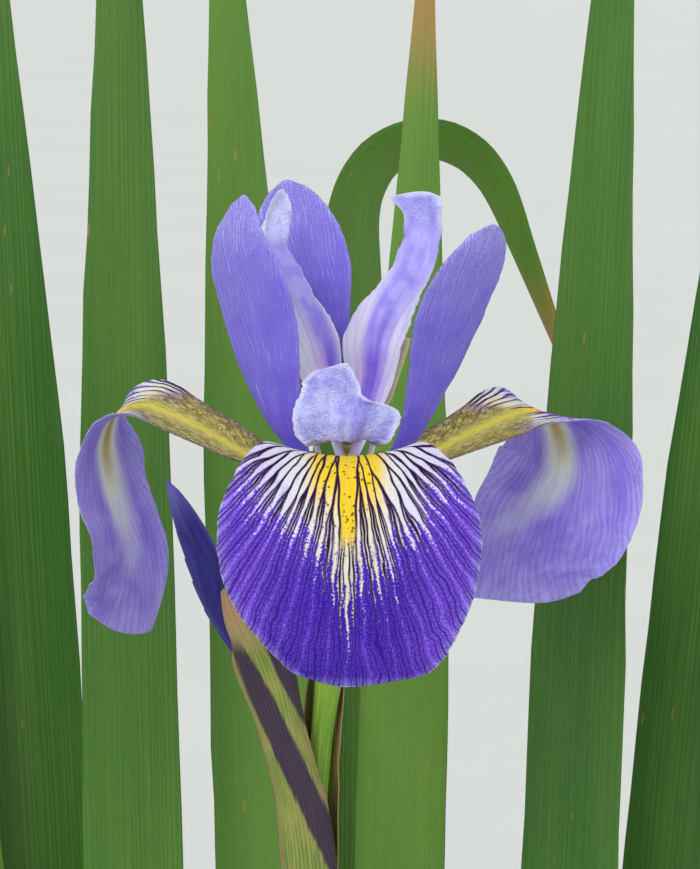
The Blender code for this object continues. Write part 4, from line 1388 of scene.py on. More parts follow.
FALLS = (
    Petal("fall_front", 0,
          ((4.2, 0.4, 0), (9, 4, 0), (15, 7.4, 0), (22, 10.4, 0), (28, 12.1, 0), (33, 12.7, 0), (38, 11, 0),
           (42, 6.5, 0), (44.5, 0, 0), (45.2, -7, 0), (44.2, -14, 0), (42, -20, 0)),
          ((0, 2, 2), (0.1, 3, 3), (0.2, 4.4, 4.4), (0.3, 5.4, 5.4), (0.38, 7, 7),
           (0.42, 9.6, 9.2), (0.46, 12, 11.4), (0.53, 15.8, 15.8), (0.61, 18.7, 19.1),
           (0.66, 19.1, 19.8), (0.71, 18.9, 19.7), (0.81, 16.8, 18.4), (0.91, 11.8, 15.2),
           (0.97, 8.2, 12.2), (1, 5.2, 8.4)),
          ((0, 0.8), (0.2, 2.2), (0.3, 1.4), (0.38, 0.3), (0.42, 1.5), (0.46, 3), (0.51, 3),
           (0.57, 1.8), (0.65, -0.2), (0.75, -1.6), (1, -0.6)),
          ((0, 0), (1, 0)),
          Veins.FOUNTAIN, rows=220, columns=150, lanes=18, aperture=0.4, ruffle=0.45),
    Petal("fall_left", -112,
          ((4.2, 0.4, 0), (10, 2.6, 0), (17, 5.6, 0), (24, 9, 0), (31, 11.8, 0), (37, 13, 0),
           (41.2, 11.2, 0), (43, 6.8, 0), (43, 1, -1), (42, -6, -3), (41, -13, -5), (41, -20, -5),
           (41.5, -26.5, -3)),
          ((0, 2, 2), (0.1, 3, 3.6), (0.2, 4.6, 6.4), (0.33, 6, 8.2), (0.41, 7.4, 8.6),
           (0.48, 8.6, 10), (0.56, 10, 12.4), (0.66, 9.6, 13.2), (0.78, 10.9, 15),
           (0.88, 11.2, 15.5), (0.95, 10.4, 13.4), (1, 8.6, 8.6)),
          ((0, 0.8), (0.12, 1.5), (0.35, 1.4), (0.45, 1.6), (0.53, 0.6), (0.62, -1.2), (0.8, -0.6),
           (1, 1)),
          ((0, 0), (0.15, -7), (0.4, -10), (0.5, -10), (0.62, 2), (0.74, 0), (1, 11)),
          Veins.FOUNTAIN, rows=160, columns=104, lanes=18, aperture=0.43, ruffle=0.5),
    Petal("fall_right", 130,
          ((4.2, 0.4, 0), (10, 2.2, 0), (17, 4.8, 0), (24, 7, 0), (31, 8.8, 0), (38, 10, 0),
           (43.5, 9.4, 0), (46.6, 6, 0), (47.6, 0, 0), (47.2, -6, 1.5), (46, -12, 3), (44.5, -18, 3.4),
           (43.8, -24, 2.4)),
          ((0, 2, 2), (0.1, 3.8, 3), (0.2, 6.6, 4.6), (0.33, 8.8, 5.8), (0.42, 10.2, 7),
           (0.5, 12.5, 8.6), (0.58, 16.4, 11.4), (0.68, 19, 13.6), (0.8, 19.4, 14), (0.9, 17.5, 15.8),
           (0.96, 14.6, 16.6), (1, 11, 14)),
          ((0, 0.8), (0.12, 1.5), (0.35, 1.4), (0.46, 2), (0.6, 0.4), (0.8, -2.4), (1, -1)),
          ((0, 0), (0.15, 6), (0.4, 9), (0.47, 10), (0.58, 0), (1, 0)),
          Veins.FOUNTAIN, rows=160, columns=104, lanes=18, aperture=0.43, ruffle=0.5),
)
FALL_FINISHES = (
    FallFinish("fall_front", reach=27.8, tongue=20.5, sides=12.5, slope=1.05, shoulder=0),
    FallFinish("fall_left", reach=8, tongue=9, sides=-3),
    FallFinish("fall_right", reach=8, tongue=11, sides=-2, bend=0.042),
)
STANDARDS = (
    Petal("standard_left", -52,
          ((3.4, 0.2, 0), (7, 5, 0), (12, 12, 0), (14.5, 21, 0), (16.8, 30.5, 0), (19.5, 38.5, 0),
           (20.8, 44.5, 0), (20, 50.3, 0)),
          ((0, 1, 1), (0.15, 1.8, 1.6), (0.26, 4, 2.6), (0.43, 7.8, 4), (0.6, 9.8, 5.4),
           (0.76, 9.2, 6), (0.88, 6.2, 4.2), (0.96, 3.2, 2.4), (1, 1.4, 1.2)),
          ((0, 0.2), (0.3, 1.2), (0.6, 1.8), (1, 0.4)),
          ((0, 0), (0.3, 10), (1, 10))),
    Petal("standard_right", 60,
          ((3.4, 0.2, 0), (7.2, 5, 0), (12.2, 12, 0), (15.6, 20, 0), (18.4, 27, 0), (20.6, 32, 0),
           (23.2, 37.8, 0), (25.4, 43, 0), (26, 45.8, 0)),
          ((0, 1, 1), (0.14, 1.6, 1.8), (0.27, 2.4, 3.8), (0.43, 4, 6.4), (0.57, 6.4, 8.1),
           (0.68, 8.2, 8.5), (0.81, 8.6, 8), (0.93, 6, 5.6), (1, 2.6, 2.4)),
          ((0, 0.2), (0.3, 1.2), (0.6, 1.8), (1, 0.6)),
          ((0, 0), (0.3, -10), (1, -10))),
    Petal("standard_rear", 180,
          ((3.4, 0.2, 0), (5.2, 8, 0), (8.4, 18, 1.6), (10.6, 27, 4), (12, 35, 6.6), (13, 42, 8.2),
           (13.6, 47.2, 9.4), (13.8, 50.2, 10)),
          ((0, 1, 1), (0.15, 1.7, 1.7), (0.34, 2.6, 3.2), (0.52, 4.4, 5.8), (0.7, 7.4, 7.8),
           (0.84, 6.7, 7), (0.94, 4.3, 4.4), (1, 1.6, 1.6)),
          ((0, 0.2), (0.4, 1), (0.7, 1.6), (1, 0.4)),
          ((0, 0), (1, 0))),
)
STYLE_ARMS = (
    StyleArm("style_arm_front", 0,
             ((1.3, 6.4, 0), (4, 9.8, 0), (9, 13, 0), (15, 14.8, 0), (21, 15, 0), (25.4, 13.6, 0),
              (28, 13.8, 0), (28.9, 17.2, 0), (28.5, 21.5, 0), (27.6, 26.4, 0)),
             ((0, 1, 1), (0.12, 2, 2), (0.3, 3.4, 3.4), (0.5, 4, 4), (0.62, 4.4, 4.4),
              (0.69, 6.4, 5.8), (0.75, 7.9, 7.4), (0.8, 8.1, 8), (0.83, 7.9, 7.4), (0.85, 7.7, 6.2),
              (0.867, 7.5, 3.7), (0.9, 7.1, 2.2), (0.95, 6.2, 1.3), (1, 3.6, 0.6)),
             ((0, 0), (0.25, -0.8), (0.55, -0.9), (0.7, 0.2), (1, 0.8)),
             ((0, 0), (1, 0)),
             rows=230, columns=110, lanes=8, ruffle=0.3, ragged=0.4, tip=1.2, crest=0.6, fold=1.3, puff=1.1),
    StyleArm("style_arm_left", -112,
             ((1.3, 6.4, 0), (2.1, 12, 0), (3.4, 18, 0), (5.2, 25, 0), (8.3, 32.4, 0), (12.2, 41, 0),
              (12.4, 45, 0), (10.9, 49.5, 0)),
             ((0, 1, 1), (0.15, 2.4, 2.4), (0.3, 4.2, 4.2), (0.42, 4.9, 4.8), (0.5, 4.5, 4.6),
              (0.6, 3.4, 4.2), (0.7, 3, 3.2), (0.79, 2.1, 1.8), (0.85, 2.8, 3), (0.9, 3.1, 1.9),
              (0.95, 2, 1.5), (1, 0.9, 0.8)),
             ((0, 0), (0.3, -0.7), (0.7, -0.8), (1, 0.4)),
             ((0, 0), (0.3, -27), (1, -30)),
             rows=130, columns=54, lanes=8, ruffle=0.3, ragged=0.25, tip=0.8, crest=0.8),
    StyleArm("style_arm_right", 130,
             ((1.3, 6.4, 0), (2.8, 12, 0), (4.6, 19, 0), (5.6, 25.5, 0), (7.3, 29.5, 0), (10.3, 33.2, 0),
              (13.3, 36.5, 0), (14.9, 40, 0), (15.8, 44, 0), (15.7, 48.6, 0)),
             ((0, 1, 1), (0.13, 2.4, 2.4), (0.28, 3.9, 4.3), (0.42, 4.7, 5.4), (0.5, 4.8, 4.7),
              (0.55, 4.6, 3.9), (0.64, 4, 3.3), (0.75, 3.5, 3.1), (0.88, 3.6, 2.9), (0.94, 3.5, 3.6),
              (0.97, 3.5, 5), (1, 3.4, 4.4)),
             ((0, 0), (0.3, -0.7), (0.7, -0.8), (1, 0.4)),
             ((0, 0), (0.3, 25), (1, 28)),
             rows=130, columns=54, lanes=8, ruffle=0.3, ragged=0.25, tip=0.8, crest=0.86),
)
ARM_FINISHES = (
    StyleFinish("style_arm_front", crest=0.6, painted_lobe_shade=1),
    StyleFinish("style_arm_left", crest=0.8, rib=-1.7, frosted=paint(222, 226, 250),
                hollow=paint(184, 186, 240)),
    StyleFinish("style_arm_right", crest=0.86, rib=-0.5, frosted=paint(176, 176, 240),
                hollow=paint(146, 140, 226)),
)
STAMENS = (
    Stamen("stamen_front", 0, ((2.95, 0.6), (5, 4.4), (9, 8.4), (14, 11.1), (22, 13))),
    Stamen("stamen_left", -112, ((2.95, 0.6), (4.6, 6), (6.4, 12), (8.2, 18), (11.4, 26))),
    Stamen("stamen_right", 130, ((2.95, 0.6), (4.6, 6), (6.8, 12), (9.4, 18), (12.6, 25))),
)
RODS = (
    HeadRod("perianth_tube",
            ((-0.6, 0, -12.3, 2.5), (-0.3, 0, -7, 2.5), (0, 0, -3, 3.4), (0, 0, -0.4, 4.8)),
            ridges=6, depth=0.05),
    HeadRod("ovary_stalk",
            ((-5.4, 1, -59.7, 1.6), (-4.9, 1, -48, 1.7), (-4.1, 0.9, -37.5, 1.9), (-3.1, 0.6, -29, 2.3),
             (-2.2, 0.3, -21, 2.9), (-1.4, 0.1, -16, 2.7), (-0.7, 0, -12.7, 2.3)),
            ridges=3, depth=0.1, rings=90),
    HeadRod("style_column", ((0, 0, 0, 1.9), (0, 0, 3, 1.7), (0, 0, 5.6, 1.9)),
            ridges=3, depth=0.08, rings=30),
    HeadRod("bud",
            ((-6.3, -2.9, -59.7, 1), (-8, -4, -48, 1.2), (-10.6, -4.3, -37.5, 1.6),
             (-15.3, -4.1, -25, 2.1), (-20.4, -4.2, -15.8, 2.6), (-23, -4, -9, 2.7),
             (-26, -3.8, -2, 1.9), (-28.7, -3.6, 4, 0.4)),
            ridges=3, depth=0.09, spiral=0.8, overlapping=True, rings=120, around=60),
)
ROD_FINISHES = (
    RodFinish("perianth_tube", foot=paint(120, 150, 60), top=paint(96, 72, 176), lines=paint(70, 60, 120),
              change=(0.1, 0.7)),
    RodFinish("ovary_stalk", foot=paint(96, 140, 34), top=paint(136, 172, 50), lines=paint(166, 196, 74),
              change=(0.3, 0.9)),
    RodFinish("style_column", foot=paint(220, 214, 230), top=paint(186, 174, 226),
              lines=paint(150, 130, 206)),
    BudFinish(),
)
VALVES = (
    SpatheValve("spathe_valve_front", (
        (-6, -1.6, -62, 4.4, 3.9), (-7.4, -3.2, -50, 4.1, 3.4), (-10.3, -3.9, -37.5, 3.8, 3),
        (-13.8, -5.2, -25, 4.4, 2.6), (-14.9, -7.4, -22, 3.3, 1.2), (-16.8, -7.4, -18.5, 2.6, 0.9),
        (-19.4, -7.5, -12.8, 0.6, 0.2)), -1),
    SpatheValve("spathe_valve_rear", (
        (-6, -0.5, -62, 4.4, 3.8), (-5.2, 0.1, -50, 3.6, 3.6), (-4.1, 0.4, -37.5, 3.1, 3.1),
        (-3, 1.9, -28, 2.7, 2.3), (-2.4, 4, -24, 1.5, 0.9), (-1.9, 4.5, -20, 0.6, 0.3)), 1),
)
VALVE_BANDS = ((-17.4, -22.5, 0.44, 1.9), (-12.9, -19.5, 0.497, 1.9))


class FlowerHead:
    """The open flower with its bud and spathe."""

    def build(self) -> None:
        """Builds and dresses every piece above the stalk."""
        for fall, finish in zip(FALLS, FALL_FINISHES):
            add_piece(f"{fall.name}_petal", fall.skin(), finish.material(), [fall.name])
        standard = StandardFinish().material()
        for petal in STANDARDS:
            add_piece(f"{petal.name}_petal", petal.skin(), standard, [petal.name])
        for arm, finish in zip(STYLE_ARMS, ARM_FINISHES):
            add_piece(f"{arm.name}_petal", arm.skin(), finish.material(), [arm.name])
        pollen = StamenFinish().material()
        for stamen in STAMENS:
            add_piece(f"{stamen.name}_thread", stamen.skin(), pollen, [stamen.name])
        for rod, finish in zip(RODS, ROD_FINISHES):
            add_piece(f"{rod.name}_stem", rod.skin(), finish.material(), [rod.name])
        for valve, bands in zip(VALVES, (VALVE_BANDS, ())):
            finish = SpatheFinish(valve.name, bands).material()
            add_piece(f"{valve.name}_leaf", valve.skin(), finish, [valve.name])


# Leaves


SOIL_TOP = 134.0
RHIZOME_CROWN = 5.5
LEAF_FOOT = 139.8
LEAF_FOOT_WIDTH = 8.9
LEAF_LAYER = 1.8
LEAF_DEPTH, LEAF_TIP_DEPTH, FOLDED_TIP_DEPTH = 2.8, 0.7, 1.4
FOLD_FROM, FOLD_TO, FOLD_LEAST = 0.84, 0.93, 90


@dataclass(frozen=True)
class FanLeaf:
    """Sword leaf of a fan.

    It has its place along the fan in millimetres, its layer, its lean along the fan and behind it in
    degrees, the arch at its tip in degrees, its length and width in millimetres and its twist in degrees.
    """

    place: float
    layer: int
    lean: float
    back: float
    arch: float
    length: float
    width: float
    twist: float

    @property
    def folds(self) -> bool:
        """Whether the leaf arches past level."""
        return abs(self.arch) > FOLD_LEAST

    def midline(self, s: Array, along: Array, behind: Array) -> tuple[Array, Array, Array]:
        """Midline of the leaf at length 1. It stands upright at its foot, leans over the next stretch, and
        arches towards its tip; a leaf that arches past level folds over within a short stretch.

        Args:
            s: stations from 0 at the foot to 1 at the tip.
            along: level direction along the fan.
            behind: level direction behind the fan.

        Returns:
            Points, level headings and tilts at the stations.
        """
        fine = np.linspace(0, 1, 241)
        ease = eased(fine, 0, 0.12)
        bend = eased(fine, FOLD_FROM, FOLD_TO) if self.folds else fine**3
        tilt_along = np.radians(self.lean * ease + self.arch * bend)[:, None]
        tilt_behind = np.radians(self.back * (ease + fine * fine))[:, None]
        tilt = np.hypot(tilt_along, tilt_behind)
        level = (tilt_along * along + tilt_behind * behind) / np.maximum(tilt, 1e-9)
        heading = level * np.sin(tilt) + UP * np.cos(tilt)
        steps = np.diff(fine)[:, None] * (heading[1:] + heading[:-1]) / 2
        line = np.concatenate((np.zeros((1, 3)), np.cumsum(steps, axis=0)))
        table = np.concatenate((line, level, tilt), axis=1)
        at = np.stack([np.interp(s, fine, column) for column in table.T], axis=1)
        return at[:, :3], at[:, 3:6], at[:, 6:]

    def skin(self, foot: Array, plane: float, seed: int, rings: int = 66, around: int = 26) -> Skin:
        """Closed skin, a thin lens in section with a slight swell along its middle.

        Args:
            foot: middle of the fan's foot in millimetres.
            plane: turn of the fan's plane from X in degrees.
            seed: number of the leaf, for its own waves and colour.
            rings: number of sections.
            around: points round a section.

        Returns:
            The skin.
        """
        along, behind = level_directions(plane)
        s, end = np.linspace(0, 1, rings) ** 1.05, LEAF_TIP_DEPTH
        if self.folds:
            s = np.interp(np.linspace(0, 1, rings), (0, 0.4, 0.85, 1), (0, FOLD_FROM, FOLD_TO, 1))
            end = FOLDED_TIP_DEPTH
        line, level, tilt = self.midline(s, along, behind)
        path = foot + along * self.place + behind * self.layer * LEAF_LAYER + line * self.length
        spin = np.radians(self.twist * s * s)[:, None]
        flat = along * np.cos(spin) + behind * np.sin(spin)
        part = (flat * level).sum(axis=1, keepdims=True)
        wide = flat - part * level + part * (level * np.cos(tilt) - UP * np.sin(tilt))
        tangent = unit(np.gradient(path, axis=0))
        tangent[0] = UP
        wide = across(tangent, wide)
        face = np.cross(tangent, wide)
        share = smooth((0, 0.1, 0.3, 0.5, 0.75, 0.9, 1), np.array((0, 0.2, 0.75, 1, 0.9, 0.5, 0)), s)[:, 0]
        tip = np.clip((1 - s) / 0.2, 0.02, 1) ** 0.6
        half = (LEAF_FOOT_WIDTH + (self.width - LEAF_FOOT_WIDTH) * share) * tip / 2
        depth = LEAF_DEPTH * (1 - s) ** 1.5 + end + 0.5 * (1 - s)
        depth = np.minimum(depth, LEAF_DEPTH) / 2
        turn = full_turn(around)
        x = np.cos(turn)[None]
        run = s[:, None] * self.length
        wander = 0.7 * noise(grid_field(run * 0.02, seed * 3.0, 1.0), 5) * eased(s, 0.1, 0.5)[:, None]
        edge = 0.03 * noise(grid_field(run * 0.09, np.sign(x), seed * 2.0), 7)
        lens = np.sign(np.sin(turn)) * np.abs(np.sin(turn)) ** 1.5
        swell = 1 + 0.04 * np.cos(x * 21) + 0.25 * np.exp(-(x / 0.25) ** 2)
        aside = x * half[:, None] * (1 + edge)
        lift = lens * depth[:, None] * swell / 1.2 + wander
        points = path[:, None] + wide[:, None] * aside[..., None] + face[:, None] * lift[..., None]
        chance = cell_value(np.array([[seed, 1, 2], [seed, 5, 6], [seed, 8, 3]]), 11)
        fields = {
            "place": grid_field(aside, run, s[:, None]),
            "tint": np.broadcast_to(chance, (rings, around, 3)).astype(float),
        }
        return tube(points * MM, fields)


@dataclass(frozen=True)
class Fan:
    """Fan of leaves on one piece of rhizome: the middle of its foot in millimetres, the turn of its plane
    from X in degrees, and its leaves from left to right."""

    name: str
    x: float
    y: float
    plane: float
    leaves: tuple[FanLeaf, ...]

    def foot(self) -> Array:
        """Middle of the leaves' feet in millimetres."""
        return np.array([self.x, self.y, LEAF_FOOT])

    def reach(self) -> float:
        """Greatest distance of a leaf from the middle of the foot in millimetres."""
        return max(abs(leaf.place) for leaf in self.leaves)


FANS = (
    Fan("middle", 0, -9, 8, (
        FanLeaf(-14.9, -1, -6.6, 0.6, -18, 360, 17, 14),
        FanLeaf(-10, 1, -4.2, 1, -8, 410, 18, -12),
        FanLeaf(10, 1, 3.8, 1.2, 8, 430, 18, 14),
        FanLeaf(14.9, -1, 7, -1, 18, 384, 16, -12),
    )),
    Fan("rear_left", -38, 24, 26, (
        FanLeaf(-15, -1, -6.4, 2, -26, 530, 18, 20),
        FanLeaf(-10, 1, -4.2, 5, -12, 600, 20, -18),
        FanLeaf(-5, -1, -2.6, 3, -5, 652, 21, 12),
        FanLeaf(0, 1, -1, 3.8, 2, 640, 21, -14),
        FanLeaf(5, -1, -0.2, 1.6, 2, 664, 20, 12),
        FanLeaf(10, 1, 0.8, 5.2, 4, 580, 18, -12),
    )),
    Fan("rear_middle", 0, 54, 4, (
        FanLeaf(-5, -1, -1.2, 1.6, -2, 642, 20, 10),
        FanLeaf(0, 1, 0.5, 5, 158, 652, 20, 48),
        FanLeaf(5, -1, 0.8, 3, 2, 620, 18, -10),
    )),
    Fan("rear_right", 38, 28, -26, (
        FanLeaf(-10, 1, -0.6, 5.2, -2, 590, 18, 12),
        FanLeaf(-5, -1, 0.2, 1.6, 2, 660, 20, -14),
        FanLeaf(0, 1, 1.2, 3.8, 4, 648, 21, 14),
        FanLeaf(5, -1, 2.6, 3, 8, 618, 20, -12),
        FanLeaf(10, 1, 4.2, 5, 14, 570, 19, 18),
        FanLeaf(15, -1, 6.4, 2, 30, 512, 17, -20),
    )),
    Fan("front_right", 38, -34, 38, (
        FanLeaf(-7.5, -1, -4.5, -5, -8, 262, 13, 14),
        FanLeaf(-2.5, 1, -1.5, -2.5, -4, 318, 15, -12),
        FanLeaf(2.5, -1, 3, -4.5, 8, 300, 15, 14),
        FanLeaf(7.5, 1, 8, -2, 26, 236, 13, -14),
    )),
    Fan("front_left", -38, -32, -36, (
        FanLeaf(-7.5, -1, -8.5, -5, -30, 258, 13, -14),
        FanLeaf(-2.5, 1, -3.5, -3, -9, 330, 15, 14),
        FanLeaf(2.5, -1, 1, -5, 4, 302, 15, -12),
        FanLeaf(7.5, 1, 5.5, -2.8, 14, 240, 13, 14),
    )),
)


@dataclass(frozen=True)
class LeafFinish:
    """Finish of a sword leaf: green with fine parallel veins, purple at the foot and dry at the tip."""

    name: str = "leaf"
    green: Colour = paint(52, 102, 30)
    fresh: Colour = paint(100, 140, 42)
    blue: Colour = paint(46, 92, 50)
    foot: Colour = paint(104, 58, 66)
    sheath: Colour = paint(214, 214, 170)
    dry: Colour = paint(158, 122, 66)

    def material(self) -> bpy.types.Material:
        """Lays the tints, the foot, the dry tip and dry spots over the green, each leaf in its own share.

        Returns:
            The material.
        """
        g = Graph(self.name)
        aside, run, share = g.field("place")
        first, second, third = g.field("tint")
        fine = g.cloud(aside * 2.6, run * 0.03, first * 40.0, detail=3.0)
        broad = g.cloud(aside * 0.1, run * 0.012, second * 40.0, detail=3.0)
        warp = g.cloud(aside * 0.5, first * 60.0, detail=1.0)
        vein = (aside * 0.9 + warp * 2.2).from_half().rise(0.08, 0.4)
        spots = g.spots(g.vector(aside * 0.3, run * 0.06, third * 30.0), 1.0)
        colour = g.layers(
            self.green,
            (self.fresh, (first * 0.7 + (broad - 0.4)).held()),
            (self.blue, second * (1.0 - share) * 0.7),
            (self.fresh, (1.0 - vein) * 0.14 * warp + fine.rise(0.5, 0.75) * 0.3),
            (self.foot, share.rise(0.16, 0.0) * (0.35 + 0.55 * third)),
            (self.sheath, share.rise(0.035, 0.0) * 0.6),
            (self.dry, (share + (fine - 0.5) * 0.03 + third * 0.03).rise(0.955, 0.995)),
            (self.dry, spots.rise(0.1, 0.04) * 0.7))
        g.bump((vein, 0.05 * MM), (fine, 0.1 * MM))
        return g.finish(colour, 0.4 + broad * 0.16, gloss=0.4)


class Foliage:
    """All leaves that rise from the rhizomes."""

    def build(self) -> None:
        """Builds and dresses every leaf."""
        material = LeafFinish().material()
        seed = 0
        for fan in FANS:
            for number, leaf in enumerate(fan.leaves, 1):
                seed += 1
                name = f"leaf_{fan.name}_{number}"
                add_piece(f"{name}_blade", leaf.skin(fan.foot(), fan.plane, seed), material, [name])


# Stalk


@dataclass(frozen=True)
class StalkLeaf:
    """Short leaf that wraps the stalk at its foot and stands away from it higher up.

    Height is that of the foot, side is -1 or 1 along X, and lean is in degrees; lengths in millimetres.
    """

    name: str
    height: float
    side: int
    length: float
    width: float
    lean: float


STALK_LEAVES = (
    StalkLeaf("stalk_leaf_lower", 300.0, -1, 150.0, 10.0, 7.0),
    StalkLeaf("stalk_leaf_upper", 452.0, 1, 104.0, 8.0, 9.0),
)


@dataclass(frozen=True)
class Stalk:
    """Flower stalk from the middle rhizome to the foot of the spathe, with its short leaves.

    Its foot, its top and the bend that moves its middle are in millimetres. It stands straight at each
    end. The radii are those at its foot and its top.
    """

    foot: tuple[float, float, float] = (0.0, -9.0, LEAF_FOOT)
    top: tuple[float, float, float] = (-6.0, -19.0, 600.0)
    bend: tuple[float, float, float] = (2.5, -4.0, 0.0)
    straight: float = 60.0
    radii: tuple[float, float] = (4.4, 3.6)

    def knots(self) -> Array:
        """Points that the stalk passes, with its radius there.

        Returns:
            Rows of x, y, z and radius in millimetres.
        """
        foot, top = np.array(self.foot), np.array(self.top)
        middle = (foot + top) / 2 + np.array(self.bend)
        points = np.array([foot, foot + UP * self.straight, middle, top - UP * self.straight, top])
        return np.column_stack((points, np.linspace(*self.radii, len(points))))

    def skin(self, rings: int = 220, around: int = 40) -> Skin:
        """Closed skin with fine ridges and a slight swelling where a leaf grows.

        Args:
            rings: number of sections.
            around: points round a section.

        Returns:
            The skin.
        """
        share = np.linspace(0, 1, rings)
        shape, length = along_points(self.knots(), share)
        path, radius = shape[:, :3], shape[:, 3:]
        turn = full_turn(around)
        ridges = 0.06 * np.cos(turn * 10)[None] + 0.05 * np.cos(turn * 3 + 1)[None]
        joints = sum(0.35 * np.exp(-((path[:, 2:] - leaf.height - 3) / 3.0) ** 2) for leaf in STALK_LEAVES)
        cosine, sine = np.cos(turn)[None], np.sin(turn)[None]
        rough = 0.08 * noise(grid_field(path[:, 2:] * 0.06, cosine * 2, sine * 2), 3)
        points = around_path(path, radius + ridges + joints + rough, turn)
        fields = {
            "round": grid_field(cosine, sine, share[:, None]),
            "place": grid_field(turn[None], share[:, None] * length),
        }
        return tube(points * MM, fields)

    def leaf_skin(self, leaf: StalkLeaf, rows: int = 90, columns: int = 36) -> Skin:
        """Closed sheet that wraps most of the stalk at its foot. Its section is an arc round the stalk's
        axis, which opens out and leaves the stalk as it rises.

        Args:
            leaf: the stalk leaf.
            rows: number of sections.
            columns: points across a section.

        Returns:
            The skin.
        """
        knots = self.knots()
        s = np.linspace(0, 1, rows)
        height = leaf.height + s * leaf.length
        centre = smooth(knots[:, 2], knots, height)
        out = leaf.side * np.tan(np.radians(leaf.lean) * s**0.5) * s * leaf.length
        opening = eased(s, 0.02, 0.45)
        sheath = (self.radii[0] + 0.2) * (1 - opening) + 13.0 * opening
        width = leaf.width * (1.9 * (1 - eased(s, 0, 0.35)) + 1.0) * np.clip(1 - s**3, 0.03, 1) ** 0.8
        wrap = np.minimum(width / sheath / 2, 2.7)[:, None] * np.linspace(-1, 1, columns)[None]
        reach = sheath[:, None] * np.cos(wrap) - (sheath - self.radii[0] - 0.35)[:, None]
        points = grid_field(
            centre[:, :1] + out[:, None] + leaf.side * reach,
            centre[:, 1:2] + sheath[:, None] * np.sin(wrap),
            height[:, None] + 3.0 * np.cos(wrap / 2) * (1 - s[:, None]))
        aside = wrap * sheath[:, None]
        fields = {
            "place": grid_field(aside, s[:, None] * leaf.length, 0.1 + 0.9 * s[:, None]),
            "tint": np.full((rows, columns, 3), 0.4),
        }
        margin = width[:, None] / 2 - np.abs(aside)
        return sheet(points * MM, (0.3 + 0.6 * eased(margin, 0, 2)) * MM, fields, under="")

    def build(self) -> None:
        """Builds and dresses the stalk and its leaves."""
        finish = RodFinish("flower_stalk", foot=paint(112, 92, 66), top=paint(112, 142, 66),
                           lines=paint(98, 76, 84), change=(0.02, 0.5), strength=0.4)
        add_piece("flower_stalk_stem", self.skin(), finish.material(), ["flower_stalk"])
        green = LeafFinish("stalk_leaf").material()
        for leaf in STALK_LEAVES:
            add_piece(f"{leaf.name}_blade", self.leaf_skin(leaf), green, [leaf.name])


# Pot, soil and rhizomes


def soil_height(x: Array, y: Array) -> Array:
    """Height of the soil in millimetres: low mounds, and finer lumps."""
    mounds = SOIL_TOP - 1.5 + 0.9 * layered(grid_field(x * 0.045, y * 0.045, 1.0), 2, 21)
    return mounds + 0.55 * layered(grid_field(x * 0.3, y * 0.3, 4.0), 3, 31)


@dataclass(frozen=True)
class Rhizome:
    """Rhizome under a fan, half sunk in the soil, with ring scars and a rough skin."""

    fan: Fan
    radius: float = 9.5
    sink: float = 3.0
    rings: int = 110
    around: int = 48

    def skin(self) -> Skin:
        """Closed skin: a lumpy rod, flattened on top where the leaves stand, with rings of worn scars.

        Returns:
            The skin.
        """
        axis, _ = level_directions(self.fan.plane)
        side = np.cross(axis, UP)
        share = np.sin(np.linspace(-1, 1, self.rings) * np.pi / 2)
        turn = full_turn(self.around)
        run = share * (self.fan.reach() * 2 + LEAF_FOOT_WIDTH + 6) / 2
        seed = len(self.fan.name)
        body = self.radius * np.clip(1 - share**8, 0.03, 1) ** 0.5 * (1 + 0.05 * np.cos(share * 7 * np.pi))
        scars = np.abs(((run * 0.36 + 0.1 * np.sin(run)) % 1) - 0.5) * 0.9
        where = grid_field(run[:, None] * 0.3, np.cos(turn)[None] * 2.4, np.sin(turn)[None] * 2.4 + seed)
        rough = layered(where, 4, seed) * 0.55
        radius = body[:, None] * 0.97 + (scars[:, None] + rough) * np.clip(1 - share**6, 0.1, 1)[:, None]
        circle = side * np.cos(turn)[:, None] + UP * np.sin(turn)[:, None]
        middle = np.array([self.fan.x, self.fan.y, SOIL_TOP - self.sink]) + run[:, None] * axis
        points = middle[:, None] + circle[None] * radius[..., None]
        top = SOIL_TOP + RHIZOME_CROWN - 0.4 + 0.35 * rough
        points[..., 2] = np.minimum(points[..., 2], top + (points[..., 2] - top) * 0.05)
        fields = {"place": grid_field(run[:, None], turn[None], rough)}
        return tube(points * MM, fields)


